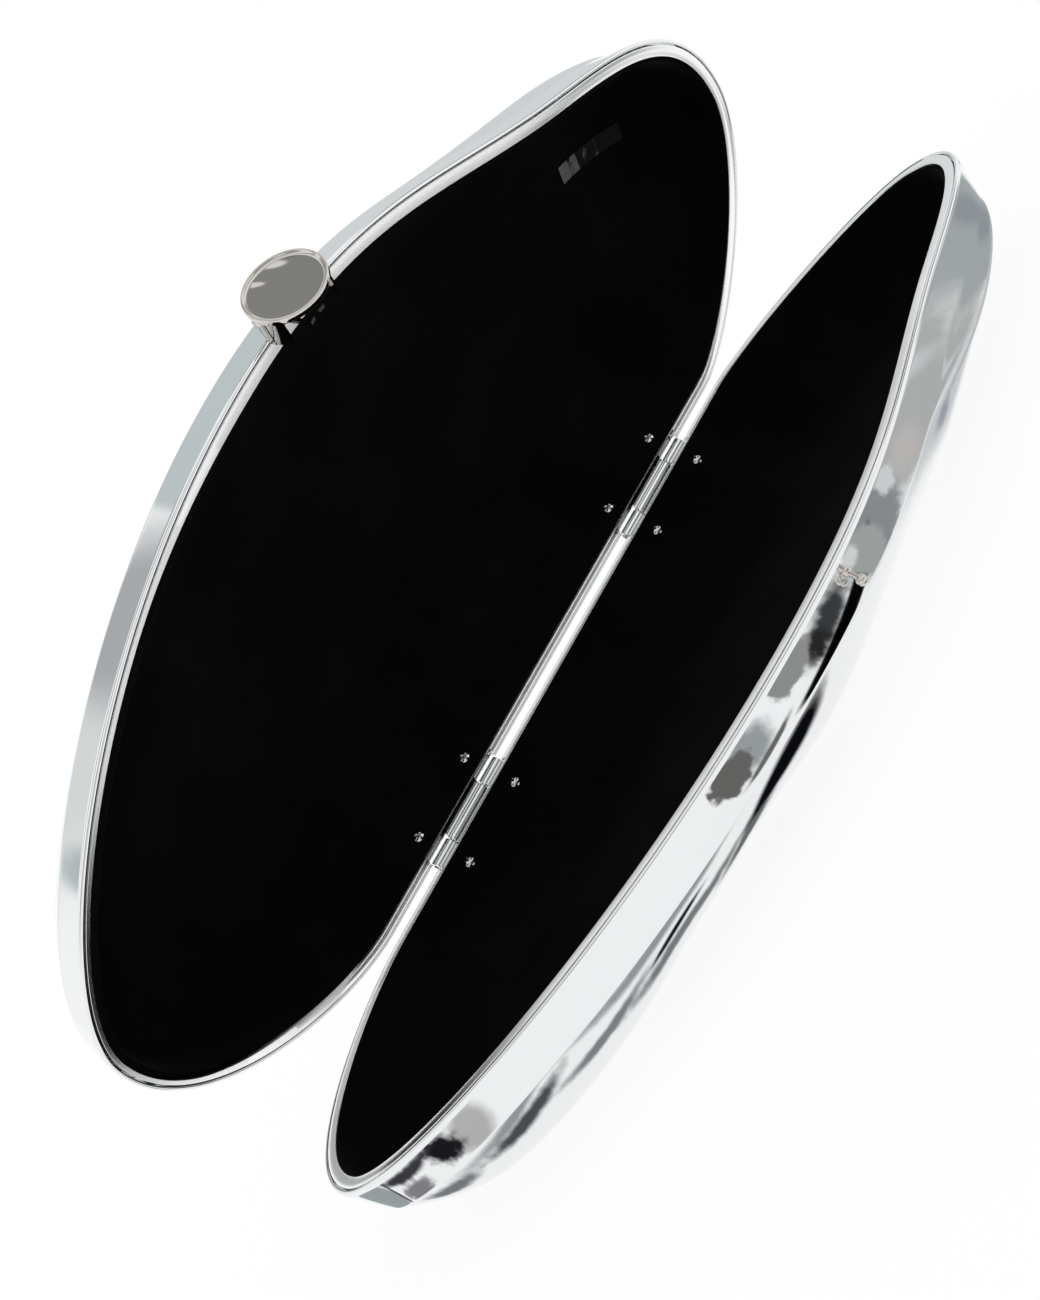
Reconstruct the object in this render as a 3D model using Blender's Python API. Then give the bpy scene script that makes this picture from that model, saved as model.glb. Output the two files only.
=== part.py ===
"""Hard-shell evening clutch: two mirror-bright halves on a pair of box hinges, with a ball clasp.

Each half is drawn in a hinge frame: u runs along the hinge axis, v from the axis to the front
edge, and n from the mouth of the half down into its shell. The base lies on the crown of its
outer face, mouth up, and the lid stands open on the hinges. Lengths are in metres.
"""

import math
from dataclasses import dataclass

import bmesh
import bpy
import numpy as np
from mathutils import Matrix, Vector

MM = 0.001

# How far the lid stands open from its closed place, in degrees.
LID_OPEN_DEG = 58.4

# Gaps: between the closed rims, between seated pieces, round small shanks, and in the knuckles.
MOUTH_GAP = 0.3 * MM
SEAT_GAP = 0.25 * MM
HOLE_GAP = 0.1 * MM
PIN_GAP = 0.05 * MM
KNUCKLE_GAP = 0.25 * MM

# Rim frame that lines each mouth.
RIM_WIDTH = 2.05 * MM
RIM_PLATE = 0.8 * MM
RIM_LIP = 0.45 * MM
FLANGE_THICKNESS = 0.5 * MM
FLANGE_DEPTH = 2.8 * MM

RIM_ROUNDING = 0.18 * MM

# Shell: a rounded lip, a band that leans in towards a crease, then a swollen face.
SHELL_LIP = 0.75 * MM
LIP_CREST = 0.26 * MM
LIP_ROUNDING = 0.16 * MM
SHOULDER_DROP = 0.65 * MM
BAND_DEPTH = 8.2 * MM
BAND_LEAN = 2.3 * MM
BAND_WALL = 0.9 * MM
FACE_DEPTH = 12.0 * MM
FACE_WALL = 1.0 * MM
FACE_ROUNDNESS = 1.8
SPINE_LEFT_U = -50.0 * MM
SPINE_RIGHT_U = 42.0 * MM
SPINE_V = 48.0 * MM

# Places of the mouth outline, and how far its curve holds its heading to either side of them.
HINGE_LINE_V = 3.7 * MM
HINGE_LEFT_U = -63.0 * MM
HINGE_RIGHT_U = 61.0 * MM
HINGE_REACH = 40.0 * MM
LEFT_CORNER_REACH = 15.5 * MM
LEFT_END_U = -108.3 * MM
LEFT_END_V = 41.0 * MM
LEFT_LOW_REACH = 21.0 * MM
LEFT_HIGH_REACH = 18.0 * MM
FRONT_TOP_U = -10.0 * MM
FRONT_TOP_V = 92.4 * MM
FRONT_LEFT_REACH = 52.5 * MM
FRONT_RIGHT_REACH = 28.5 * MM
HOLLOW_END_U = 57.5 * MM
HOLLOW_END_V = 72.8 * MM
HOLLOW_END_HEADING_DEG = -22.0
HOLLOW_REACH = 26.0 * MM
RIGHT_SHOULDER_REACH = 20.0 * MM
RIGHT_END_U = 99.5 * MM
RIGHT_END_V = 40.5 * MM
RIGHT_HIGH_REACH = 21.0 * MM
RIGHT_LOW_REACH = 15.5 * MM
RIGHT_CORNER_REACH = 11.5 * MM

# Step below the crease, deepest beside the front's hollow stretch.
STEP_DEPTH = 4.6 * MM
STEP_ROUNDING = 1.0 * MM
STEP_U = 68.0 * MM
STEP_HALF_LENGTH = 42.0 * MM

# How far in from the crease the face slopes before it is level, at places along u.
SLOPE_PLACES = tuple(u * MM for u in (-120.0, -95.0, -74.0, -54.0, -36.0, -17.0, 12.0, 54.0, 80.0, 115.0))
SLOPE_REACHES = tuple(d * MM for d in (16.0, 16.0, 17.5, 23.0, 26.0, 21.0, 26.0, 16.5, 27.0, 18.0))
HINGE_SLOPE_REACH = 18.0 * MM
HINGE_SIDE_V = 20.0 * MM
FRONT_SIDE_V = 45.0 * MM
FACE_STEPS = (0.01, 0.025, 0.045, 0.1, 0.17, 0.26, 0.37, 0.5, 0.68, 1.0)

# Lining: velvet on card, a strip round the wall and a dished panel on the floor.
LINING_WALL = 0.5 * MM
LINING_FLOOR = 1.0 * MM
LINING_WALL_DEPTH = 7.2 * MM
INNER_STEPS = (0.1, 0.22, 0.4, 0.65, 1.0)

# Box hinges, each with a three-part barrel.
HINGE_HALF_SPACING = 37.0 * MM
HINGE_HALF_LENGTH = 11.5 * MM
MIDDLE_KNUCKLE_HALF_LENGTH = 5.9 * MM
BARREL_RADIUS = 1.1 * MM
PIN_RADIUS = 0.5 * MM
STRAP_TOP = 0.2 * MM
STRAP_THICKNESS = 0.5 * MM
LEAF_DEPTH = 6.0 * MM
NOTCH_DEPTH = 1.35 * MM

# Cross-head screws through the lining and the leaves.
SCREW_FROM_LEAF_END = 3.0 * MM
SCREW_DEPTH = 3.9 * MM
SCREW_HEAD_RADIUS = 0.95 * MM
SCREW_HEAD_HEIGHT = 0.5 * MM
SCREW_SHANK_RADIUS = 0.5 * MM
SCREW_BITE = 0.6 * MM
SCREW_POINT = 0.3 * MM

# Clasp: a dished cap on a block, cheeks round a hollow, and two sprung jaws in the hollow.
CLASP_U = -3.2 * MM
CAP_STAND_OFF = 6.8 * MM
CAP_N = -4.0 * MM
CAP_TILT_DEG = 7.0
CAP_RADIUS = 7.4 * MM
CAP_THICKNESS = 1.3 * MM
CAP_DISH_DEPTH = 0.6 * MM
CAP_DISH_RADIUS = 6.5 * MM
CAP_EDGE_ROUNDING = 0.35 * MM
CAP_SHOULDER = 0.1 * MM
COLLAR_RADIUS = 6.9 * MM
COLLAR_WALL = 0.8 * MM
COLLAR_SPLIT = 0.9 * MM
COLLAR_SPLIT_GAP = 0.4 * MM
COLLAR_HOLLOW_END = 4.8 * MM
MOUTH_NOTCH_HALF_WIDTH = 5.2 * MM
MOUTH_NOTCH_TURN_DEG = -13.0
CAP_PEG_HALF_SPACING = 1.8 * MM
CAP_PEG_PLACE = 5.7 * MM
CAP_PEG_RADIUS = 0.4 * MM
CAP_PEG_LENGTH = 2.0 * MM
PAD_HALF_WIDTH = 3.2 * MM
PAD_START_N = 1.2 * MM
PAD_END_N = 5.4 * MM
PAD_THICKNESS = 1.8 * MM
CLASP_SCREW_HALF_SPACING = 2.0 * MM
CLASP_SCREW_N = 4.3 * MM
CLASP_SCREW_BITE = 0.9 * MM
CLASP_SCREW_HEAD_RADIUS = 0.8 * MM
CLASP_SCREW_HEAD_HEIGHT = 0.3 * MM

# Ball stud on the base and the jaws that close round it.
CATCH_U = -3.8 * MM
BALL_RADIUS = 0.95 * MM
BALL_N = 5.3 * MM
BALL_STAND_OFF = 3.7 * MM
STUD_RADIUS = 0.6 * MM
STUD_TILT_DEG = 72.0
STUD_BITE = 0.8 * MM
JAW_RISE = 0.3 * MM
JAW_THICKNESS = 0.6 * MM
JAW_ARM_WIDTH = 0.7 * MM
JAW_BALL_GAP = 0.25 * MM
JAW_TIP_BITE = 0.55 * MM
JAW_TIP_LENGTH = 0.7 * MM
JAW_PIVOT_N = -0.6 * MM
JAW_EYE_RADIUS = 0.9 * MM
JAW_PIN_RADIUS = 0.4 * MM
JAW_PIN_HEAD_RADIUS = 0.75 * MM
JAW_PIN_HEAD = 0.25 * MM
JAW_PIN_BITE = 0.35 * MM

# Bare strip of clear film that lies on the lid's lining.
FILM_LENGTH = 15.5 * MM
FILM_WIDTH = 3.5 * MM
FILM_THICKNESS = 0.2 * MM
FILM_FROM_RIGHT_END = 19.5 * MM
FILM_V = 44.3 * MM
FILM_TURN_DEG = -12.0

# How finely round and bent forms are drawn.
FILM_STEPS = 6
FOOT_STEPS = 8
ROUND_SIDES = 16
SCREW_SIDES = 12
CAP_SIDES = 40
BALL_STEPS = 7

# The clasp's two sides, as a letter and a sign along u.
SIDES = (("a", 1), ("b", -1))

# Lengths that follow from the sizes above.
SCREW_HALF_SPACING = HINGE_HALF_LENGTH - SCREW_FROM_LEAF_END
SHELL_EDGE_W = RIM_WIDTH + SEAT_GAP + SHELL_LIP
CREASE_W = SHELL_EDGE_W - BAND_LEAN
LEDGE_N = RIM_PLATE + SEAT_GAP
HALF_DEPTH = BAND_DEPTH + FACE_DEPTH
FILM_U = RIGHT_END_U - FILM_FROM_RIGHT_END
HINGE_Y = SPINE_V
HINGE_Z = HALF_DEPTH + MOUTH_GAP / 2


@dataclass(frozen=True)
class Knot:
    """A point of the mouth outline, with the heading there and the reach of its two handles."""

    u: float
    v: float
    heading_deg: float
    reach_in: float
    reach_out: float
    steps: int


# Mouth outline: the rim's inner edge, from the hinge line round the left end and the front.
OUTLINE = (
    Knot(HINGE_LEFT_U, HINGE_LINE_V, 180.0, HINGE_REACH, LEFT_CORNER_REACH, 12),
    Knot(LEFT_END_U, LEFT_END_V, 90.0, LEFT_LOW_REACH, LEFT_HIGH_REACH, 18),
    Knot(FRONT_TOP_U, FRONT_TOP_V, 0.0, FRONT_LEFT_REACH, FRONT_RIGHT_REACH, 10),
    Knot(HOLLOW_END_U, HOLLOW_END_V, HOLLOW_END_HEADING_DEG, HOLLOW_REACH, RIGHT_SHOULDER_REACH, 14),
    Knot(RIGHT_END_U, RIGHT_END_V, -90.0, RIGHT_HIGH_REACH, RIGHT_LOW_REACH, 10),
    Knot(HINGE_RIGHT_U, HINGE_LINE_V, 180.0, RIGHT_CORNER_REACH, HINGE_REACH, 8),
)


def bezier(start, end, share):
    """Return the point and the unit heading at one share of the span between two knots."""
    out_angle = math.radians(start.heading_deg)
    in_angle = math.radians(end.heading_deg)
    p0 = np.array((start.u, start.v))
    p3 = np.array((end.u, end.v))
    p1 = p0 + start.reach_out * np.array((math.cos(out_angle), math.sin(out_angle)))
    p2 = p3 - end.reach_in * np.array((math.cos(in_angle), math.sin(in_angle)))
    rest = 1 - share
    point = rest**3 * p0 + 3 * rest**2 * share * p1 + 3 * rest * share**2 * p2 + share**3 * p3
    slope = rest**2 * (p1 - p0) + 2 * rest * share * (p2 - p1) + share**2 * (p3 - p2)
    return point, slope / np.linalg.norm(slope)


def mouth_outline():
    """Return the outline's points and their outward normals, as two arrays."""
    points = []
    normals = []
    for index, start in enumerate(OUTLINE):
        end = OUTLINE[(index + 1) % len(OUTLINE)]
        for step in range(start.steps):
            point, heading = bezier(start, end, step / start.steps)
            points.append(point)
            normals.append((-heading[1], heading[0]))
    return np.array(points), np.array(normals)


MOUTH, OUTWARD = mouth_outline()


def front_v(u):
    """Return the v of the mouth's front edge at a given u."""
    front = MOUTH[MOUTH[:, 1] > SPINE_V]
    front = front[np.argsort(front[:, 0])]
    return float(np.interp(u, front[:, 0], front[:, 1]))


FRONT_V = front_v(CLASP_U)


def band_w(n):
    """Return how far the band's outer face stands outside the mouth's edge at depth n."""
    fall = max(n - SHOULDER_DROP, 0.0) / (BAND_DEPTH - SHOULDER_DROP)
    return SHELL_EDGE_W - BAND_LEAN * fall


def wall_ring(w, n):
    """Return a ring of (u, v, n) points at offset w outside the mouth's edge and depth n."""
    points = MOUTH + OUTWARD * w
    return np.column_stack((points, np.full(len(points), n)))


def spine_foot(points):
    """Return the nearest point of the face's spine for each outline point."""
    u = np.clip(points[:, 0], SPINE_LEFT_U, SPINE_RIGHT_U)
    return np.column_stack((u, np.full(len(points), SPINE_V)))


def bump(x):
    """Return a smooth hump that is 1 at x = 0 and falls to 0 at x = -1 and x = 1."""
    return np.cos(np.clip(x, -1, 1) * math.pi / 2) ** 2


def slope_reach(u):
    """Return how far in the front's face slopes, on a smooth curve through the named places."""
    places = np.array(SLOPE_PLACES)
    reaches = np.array(SLOPE_REACHES)
    grades = np.gradient(reaches, places)
    index = np.clip(np.searchsorted(places, u) - 1, 0, len(places) - 2)
    width = places[index + 1] - places[index]
    t = (u - places[index]) / width
    start = (2 * t**3 - 3 * t**2 + 1) * reaches[index] + (t**3 - 2 * t**2 + t) * width * grades[index]
    end = (3 * t**2 - 2 * t**3) * reaches[index + 1] + (t**3 - t**2) * width * grades[index + 1]
    return start + end


def face_ring(step, lift=0.0):
    """Return a ring on the face.

    The ring lies at a share of the way along the slope, from the crease at 0 to the level crown
    at 1. The face first drops by a rounded step, and then eases out along a power curve. The
    lift sets an inner ring square off the slope, towards the mouth.
    """
    crease = MOUTH + OUTWARD * CREASE_W
    inward = spine_foot(crease) - crease
    inward = inward / np.linalg.norm(inward, axis=1)[:, None]
    frontness = np.clip((crease[:, 1] - HINGE_SIDE_V) / (FRONT_SIDE_V - HINGE_SIDE_V), 0, 1)
    frontness = frontness**2 * (3 - 2 * frontness)
    reach = HINGE_SLOPE_REACH + (slope_reach(crease[:, 0]) - HINGE_SLOPE_REACH) * frontness
    drop = STEP_DEPTH * bump((crease[:, 0] - STEP_U) / STEP_HALF_LENGTH) * frontness
    inset = step * reach
    turned = np.sqrt(1 - (1 - np.minimum(inset / STEP_ROUNDING, 1)) ** 2)
    depth = drop * turned + (FACE_DEPTH - drop) * (1 - (1 - step) ** FACE_ROUNDNESS)
    grade = (FACE_DEPTH - drop) * FACE_ROUNDNESS / reach * (1 - step) ** (FACE_ROUNDNESS - 1)
    angle = np.arctan(grade)
    points = crease + inward * (inset + lift * np.sin(angle))[:, None]
    return np.column_stack((points, BAND_DEPTH + depth - lift * np.cos(angle)))


def loft(rings, close_loop):
    """Return a mesh that joins rings of points in order, capped or closed on itself."""
    mesh = bmesh.new()
    rows = [[mesh.verts.new(point) for point in ring] for ring in rings]
    pairs = list(zip(rows, rows[1:]))
    if close_loop:
        pairs.append((rows[-1], rows[0]))
    for upper, lower in pairs:
        for index in range(len(upper)):
            after = (index + 1) % len(upper)
            mesh.faces.new((upper[index], upper[after], lower[after], lower[index]))
    if not close_loop:
        mesh.faces.new(rows[0])
        mesh.faces.new(rows[-1])
    return mesh


def half_matrix(side):
    """Return the map from (u, v, n) to the local frame of a half: -1 is the base, 1 the lid."""
    lift = Matrix.Translation((0, 0, side * MOUTH_GAP / 2))
    return lift @ Matrix.Diagonal((1, -1, side, 1))


def box_mesh(low, high):
    """Return a box between two corners."""
    size = Vector(high) - Vector(low)
    middle = (Vector(high) + Vector(low)) / 2
    mesh = bmesh.new()
    place = Matrix.Translation(middle) @ Matrix.Diagonal((*size, 1))
    bmesh.ops.create_cube(mesh, size=1, matrix=place)
    return mesh


def prism_mesh(outline, low, high, axis):
    """Return a prism: a flat outline of pairs, drawn out along one axis from low to high."""
    others = [index for index in range(3) if index != axis]
    rings = []
    for along in (low, high):
        ring = []
        for pair in outline:
            point = [0.0, 0.0, 0.0]
            point[axis] = along
            point[others[0]] = pair[0]
            point[others[1]] = pair[1]
            ring.append(point)
        rings.append(ring)
    return loft(rings, close_loop=False)


def turned_mesh(profile, sides):
    """Return a turned solid about the Z axis from (radius, height) pairs, both ends closed."""
    rings = []
    for radius, height in profile:
        angles = [2 * math.pi * (k + 0.5) / sides for k in range(sides)]
        rings.append([(radius * math.cos(a), radius * math.sin(a), height) for a in angles])
    return loft(rings, close_loop=False)


def rod_mesh(start, end, radius, sides=ROUND_SIDES):
    """Return a straight round rod between two points."""
    start = Vector(start)
    axis = Vector(end) - start
    mesh = turned_mesh(((radius, 0.0), (radius, axis.length)), sides)
    turn = axis.to_track_quat("Z", "Y").to_matrix().to_4x4()
    bmesh.ops.transform(mesh, matrix=Matrix.Translation(start) @ turn, verts=mesh.verts)
    return mesh


def joined(meshes):
    """Return one mesh that holds several separate solids."""
    whole = bmesh.new()
    for mesh in meshes:
        scratch = bpy.data.meshes.new("scratch")
        mesh.to_mesh(scratch)
        mesh.free()
        whole.from_mesh(scratch)
        bpy.data.meshes.remove(scratch)
    return whole


def make_material(name, colour, metallic, roughness):
    """Return a material with a plain Principled surface."""
    material = bpy.data.materials.new(name)
    material.use_nodes = True
    surface = material.node_tree.nodes["Principled BSDF"]
    surface.inputs["Base Color"].default_value = (*colour, 1.0)
    surface.inputs["Metallic"].default_value = metallic
    surface.inputs["Roughness"].default_value = roughness
    return material


def add_piece(name, mesh, parent, material, frame=None, smooth_deg=30.0):
    """Add a solid to the scene under a parent empty and return its object."""
    if frame is not None:
        bmesh.ops.transform(mesh, matrix=frame, verts=mesh.verts)
    bmesh.ops.recalc_face_normals(mesh, faces=mesh.faces)
    data = bpy.data.meshes.new(name)
    mesh.to_mesh(data)
    mesh.free()
    piece = bpy.data.objects.new(name, data)
    bpy.context.scene.collection.objects.link(piece)
    piece.parent = parent
    if material is not None:
        data.materials.append(material)
        data.shade_smooth()
        data.set_sharp_from_angle(angle=math.radians(smooth_deg))
    return piece


def combine(piece, mesh, operation, frame=None):
    """Cut a hidden shape out of a piece, or join it on, with a Boolean modifier."""
    count = len(piece.modifiers) + 1
    tool = add_piece(f"{piece.name}_tool_{count}", mesh, piece.parent, None, frame)
    tool.location = piece.location
    tool.hide_render = True
    tool.display_type = "WIRE"
    step = piece.modifiers.new(f"{operation.lower()}_{count}", "BOOLEAN")
    step.operation = operation
    step.solver = "EXACT"
    step.object = tool
    return tool


def add_empty(name, location, parent=None, turn_x_deg=0.0):
    """Add an empty on a joint's axis and return it."""
    empty = bpy.data.objects.new(name, None)
    bpy.context.scene.collection.objects.link(empty)
    empty.location = location
    empty.rotation_euler = (math.radians(turn_x_deg), 0, 0)
    empty.parent = parent
    return empty


def hinge_centres():
    """Return the far and near hinge's name and place along the axis."""
    return (("far", HINGE_HALF_SPACING), ("near", -HINGE_HALF_SPACING))


def screw_places():
    """Return the u of all four hinge screws of a half."""
    places = []
    for _, centre in hinge_centres():
        places += [centre - SCREW_HALF_SPACING, centre + SCREW_HALF_SPACING]
    return places


def wall_tilt():
    """Return how far the band leans in from upright, in radians."""
    return math.atan(BAND_LEAN / (BAND_DEPTH - SHOULDER_DROP))


def screw_point(u, height):
    """Return a point on a hinge screw's axis, at a height over the band's inner face."""
    tilt = wall_tilt()
    foot_v = HINGE_LINE_V - band_w(SCREW_DEPTH) + BAND_WALL
    return (u, foot_v + height * math.cos(tilt), SCREW_DEPTH - height * math.sin(tilt))


def screw_rods(radius, low, high, places):
    """Return rods along the hinge screws' axes between two heights, for their holes."""
    return joined([rod_mesh(screw_point(u, low), screw_point(u, high), radius) for u in places])


def screw_seat():
    """Return the height of the lining's bare face over the band's inner face."""
    stack = SEAT_GAP + FLANGE_THICKNESS + SEAT_GAP + LINING_WALL
    return stack * math.cos(wall_tilt())


def hinge_notch(centre, low_n, high_n, high_v):
    """Return the room cut for one hinge, from outside the shell's edge in to high_v."""
    reach = HINGE_HALF_LENGTH + SEAT_GAP
    low_v = HINGE_LINE_V - SHELL_EDGE_W - BARREL_RADIUS
    return box_mesh((centre - reach, low_v, low_n), (centre + reach, high_v, high_n))


def make_shell(side, name, parent, material):
    """Model one shell: lip, leaning band, creased and swollen face, and its inside."""
    lip_inner = RIM_WIDTH + SEAT_GAP
    outside = [
        wall_ring(lip_inner, LIP_ROUNDING),
        wall_ring(lip_inner + LIP_CREST, 0.0),
        wall_ring(SHELL_EDGE_W - LIP_ROUNDING, LIP_ROUNDING),
        wall_ring(SHELL_EDGE_W, SHOULDER_DROP),
        wall_ring(CREASE_W, BAND_DEPTH),
    ]
    outside += [face_ring(step) for step in FACE_STEPS]
    inside = [face_ring(step, lift=FACE_WALL) for step in reversed(INNER_STEPS)]
    inside += [
        wall_ring(CREASE_W - BAND_WALL, BAND_DEPTH - FACE_WALL / 2),
        wall_ring(band_w(LEDGE_N) - BAND_WALL, LEDGE_N),
        wall_ring(lip_inner, LEDGE_N),
    ]
    shell = shell_mesh(outside, inside)
    piece = add_piece(name, shell, parent, material, half_matrix(side))
    high_v = HINGE_LINE_V - band_w(LEDGE_N) + BAND_WALL + SEAT_GAP
    for _, centre in hinge_centres():
        notch = hinge_notch(centre, -BARREL_RADIUS, NOTCH_DEPTH, high_v)
        combine(piece, notch, "DIFFERENCE", half_matrix(side))
    hole_radius = SCREW_SHANK_RADIUS + HOLE_GAP
    holes = screw_rods(hole_radius, -SCREW_BITE - HOLE_GAP, screw_seat(), screw_places())
    combine(piece, holes, "DIFFERENCE", half_matrix(side))
    return piece


def shell_mesh(outside, inside):
    """Return a shell: outer rings to a flat crown, and inner rings back from a flat floor."""
    mesh = bmesh.new()
    outer_rows = [[mesh.verts.new(point) for point in ring] for ring in outside]
    inner_rows = [[mesh.verts.new(point) for point in ring] for ring in inside]
    mesh.faces.new(outer_rows[-1])
    mesh.faces.new(inner_rows[0])
    pairs = list(zip(outer_rows, outer_rows[1:])) + list(zip(inner_rows, inner_rows[1:]))
    pairs.append((inner_rows[-1], outer_rows[0]))
    for upper, lower in pairs:
        for index in range(len(upper)):
            after = (index + 1) % len(upper)
            mesh.faces.new((upper[index], upper[after], lower[after], lower[index]))
    return mesh


def flange_w(n):
    """Return the offset of the rim flange's outer face at depth n."""
    return band_w(n) - BAND_WALL - SEAT_GAP


def make_rim(side, name, parent, material):
    """Model the rim frame: a flat plate round the mouth, a small lip and a leaning flange."""
    inner_top = flange_w(LEDGE_N) - FLANGE_THICKNESS
    rings = [
        wall_ring(0.0, RIM_ROUNDING),
        wall_ring(RIM_ROUNDING, 0.0),
        wall_ring(RIM_WIDTH - RIM_ROUNDING, 0.0),
        wall_ring(RIM_WIDTH, RIM_ROUNDING),
        wall_ring(RIM_WIDTH, RIM_PLATE),
        wall_ring(flange_w(LEDGE_N), RIM_PLATE),
        wall_ring(flange_w(FLANGE_DEPTH), FLANGE_DEPTH),
        wall_ring(flange_w(FLANGE_DEPTH) - FLANGE_THICKNESS, FLANGE_DEPTH),
        wall_ring(inner_top, RIM_PLATE),
        wall_ring(0.0, RIM_PLATE),
    ]
    piece = add_piece(name, loft(rings, close_loop=True), parent, material, half_matrix(side))
    foot = FLANGE_DEPTH + RIM_PLATE
    for _, centre in hinge_centres():
        plate_notch = hinge_notch(centre, -BARREL_RADIUS, foot, HINGE_LINE_V - RIM_LIP)
        combine(piece, plate_notch, "DIFFERENCE", half_matrix(side))
        flange_notch = hinge_notch(centre, RIM_PLATE, foot, HINGE_LINE_V + RIM_WIDTH)
        combine(piece, flange_notch, "DIFFERENCE", half_matrix(side))
    return piece


def lining_w(n):
    """Return the offset of the wall lining's outer face at depth n."""
    return flange_w(n) - FLANGE_THICKNESS - SEAT_GAP


def make_wall_lining(side, name, parent, material):
    """Model the lining strip that stands round the wall, with holes for the hinge screws."""
    top = LEDGE_N
    foot = LINING_WALL_DEPTH
    rings = [
        wall_ring(lining_w(top), top),
        wall_ring(lining_w(foot), foot),
        wall_ring(lining_w(foot) - LINING_WALL, foot),
        wall_ring(lining_w(top) - LINING_WALL, top + LINING_WALL / 2),
    ]
    piece = add_piece(name, loft(rings, close_loop=True), parent, material, half_matrix(side))
    hole_radius = SCREW_SHANK_RADIUS + HOLE_GAP
    holes = screw_rods(hole_radius, 0.0, screw_seat() + LINING_WALL, screw_places())
    combine(piece, holes, "DIFFERENCE", half_matrix(side))
    return piece


def make_floor_lining(side, name, parent, material):
    """Model the dished lining panel that rests on the inside of the face."""
    low = FACE_WALL + SEAT_GAP
    below = [face_ring(step, lift=low) for step in reversed(INNER_STEPS)]
    above = [face_ring(step, lift=low + LINING_FLOOR) for step in INNER_STEPS]
    mesh = loft(below + above, close_loop=False)
    return add_piece(name, mesh, parent, material, half_matrix(side))


def leaf_prism(low_u, high_u):
    """Return the flat part of a hinge leaf, which leans with the band."""
    top = STRAP_TOP
    foot = LEAF_DEPTH
    outline = []
    for n, thick in ((top, 0.0), (foot, 0.0), (foot, 1.0), (top, 1.0)):
        v = HINGE_LINE_V - flange_w(max(n, LEDGE_N)) + thick * FLANGE_THICKNESS
        outline.append((v, n))
    return prism_mesh(outline, low_u, high_u, axis=0)


def knuckle_spans(side, centre):
    """Return where one leaf's knuckles lie along the axis: the base's outside, the lid's inside."""
    middle = MIDDLE_KNUCKLE_HALF_LENGTH
    outer = HINGE_HALF_LENGTH
    if side > 0:
        gap = KNUCKLE_GAP / 2
        return [(centre - middle + gap, centre + middle - gap)]
    gap = KNUCKLE_GAP / 2
    return [(centre - outer, centre - middle - gap), (centre + middle + gap, centre + outer)]


def axis_rods(spans, radius, extra=0.0):
    """Return rods on the hinge axis, one along each span, made longer by extra at both ends."""
    n = -MOUTH_GAP / 2
    return joined([rod_mesh((low - extra, 0, n), (high + extra, 0, n), radius) for low, high in spans])


def make_leaf(side, name, centre, parent, material):
    """Model a hinge leaf: plate, straps and knuckles, bored for its pin and its screws."""
    plate = leaf_prism(centre - HINGE_HALF_LENGTH, centre + HINGE_HALF_LENGTH)
    piece = add_piece(name, plate, parent, material, half_matrix(side))
    spans = knuckle_spans(side, centre)
    near_v = BARREL_RADIUS - STRAP_THICKNESS / 2
    far_v = HINGE_LINE_V - flange_w(LEDGE_N) + FLANGE_THICKNESS / 2
    strap_foot = STRAP_TOP + STRAP_THICKNESS
    straps = [box_mesh((a, near_v, STRAP_TOP), (b, far_v, strap_foot)) for a, b in spans]
    combine(piece, joined(straps), "UNION", half_matrix(side))
    combine(piece, axis_rods(spans, BARREL_RADIUS), "UNION", half_matrix(side))
    bores = axis_rods(spans, PIN_RADIUS + PIN_GAP, extra=KNUCKLE_GAP / 4)
    combine(piece, bores, "DIFFERENCE", half_matrix(side))
    places = [centre - SCREW_HALF_SPACING, centre + SCREW_HALF_SPACING]
    holes = screw_rods(SCREW_SHANK_RADIUS + HOLE_GAP, 0.0, screw_seat() + LINING_WALL, places)
    combine(piece, holes, "DIFFERENCE", half_matrix(side))
    return piece


def make_hinge_pin(name, centre, parent, material):
    """Model the pin of one hinge, level with the ends of its barrel."""
    start = (centre - HINGE_HALF_LENGTH, 0, 0)
    end = (centre + HINGE_HALF_LENGTH, 0, 0)
    return add_piece(name, rod_mesh(start, end, PIN_RADIUS), parent, material)


def screw_mesh(seat, tip, head_radius, head_height, shank_radius):
    """Return a round-headed screw along v, from under its head at seat to its tip."""
    seat = Vector(seat)
    tip = Vector(tip)
    length = (seat - tip).length
    profile = (
        (shank_radius - SCREW_POINT, 0.0),
        (shank_radius, SCREW_POINT),
        (shank_radius, length),
        (head_radius, length),
        (head_radius, length + head_height / 2),
        (head_radius - head_height / 2, length + head_height),
    )
    mesh = turned_mesh(profile, SCREW_SIDES)
    turn = (seat - tip).to_track_quat("Z", "Y").to_matrix().to_4x4()
    bmesh.ops.transform(mesh, matrix=Matrix.Translation(tip) @ turn, verts=mesh.verts)
    return mesh


def make_hinge_screws(side, name, centre, parent, material):
    """Model the two cross-head screws of one leaf: a is the left one, b the right one."""
    for letter, step in (("a", -SCREW_HALF_SPACING), ("b", SCREW_HALF_SPACING)):
        seat = screw_point(centre + step, screw_seat() + HOLE_GAP)
        tip = screw_point(centre + step, -SCREW_BITE)
        screw = screw_mesh(seat, tip, SCREW_HEAD_RADIUS, SCREW_HEAD_HEIGHT, SCREW_SHANK_RADIUS)
        add_piece(f"{name}_{letter}", screw, parent, material, half_matrix(side))


def clasp_frame():
    """Return the clasp's frame in the lid: X along u, Y along n, Z out of the front face."""
    face_v = FRONT_V + SHELL_EDGE_W + CAP_STAND_OFF
    turn = Matrix(((1, 0, 0, CLASP_U), (0, 0, -1, -face_v), (0, 1, 0, 0), (0, 0, 0, 1)))
    return turn


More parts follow.
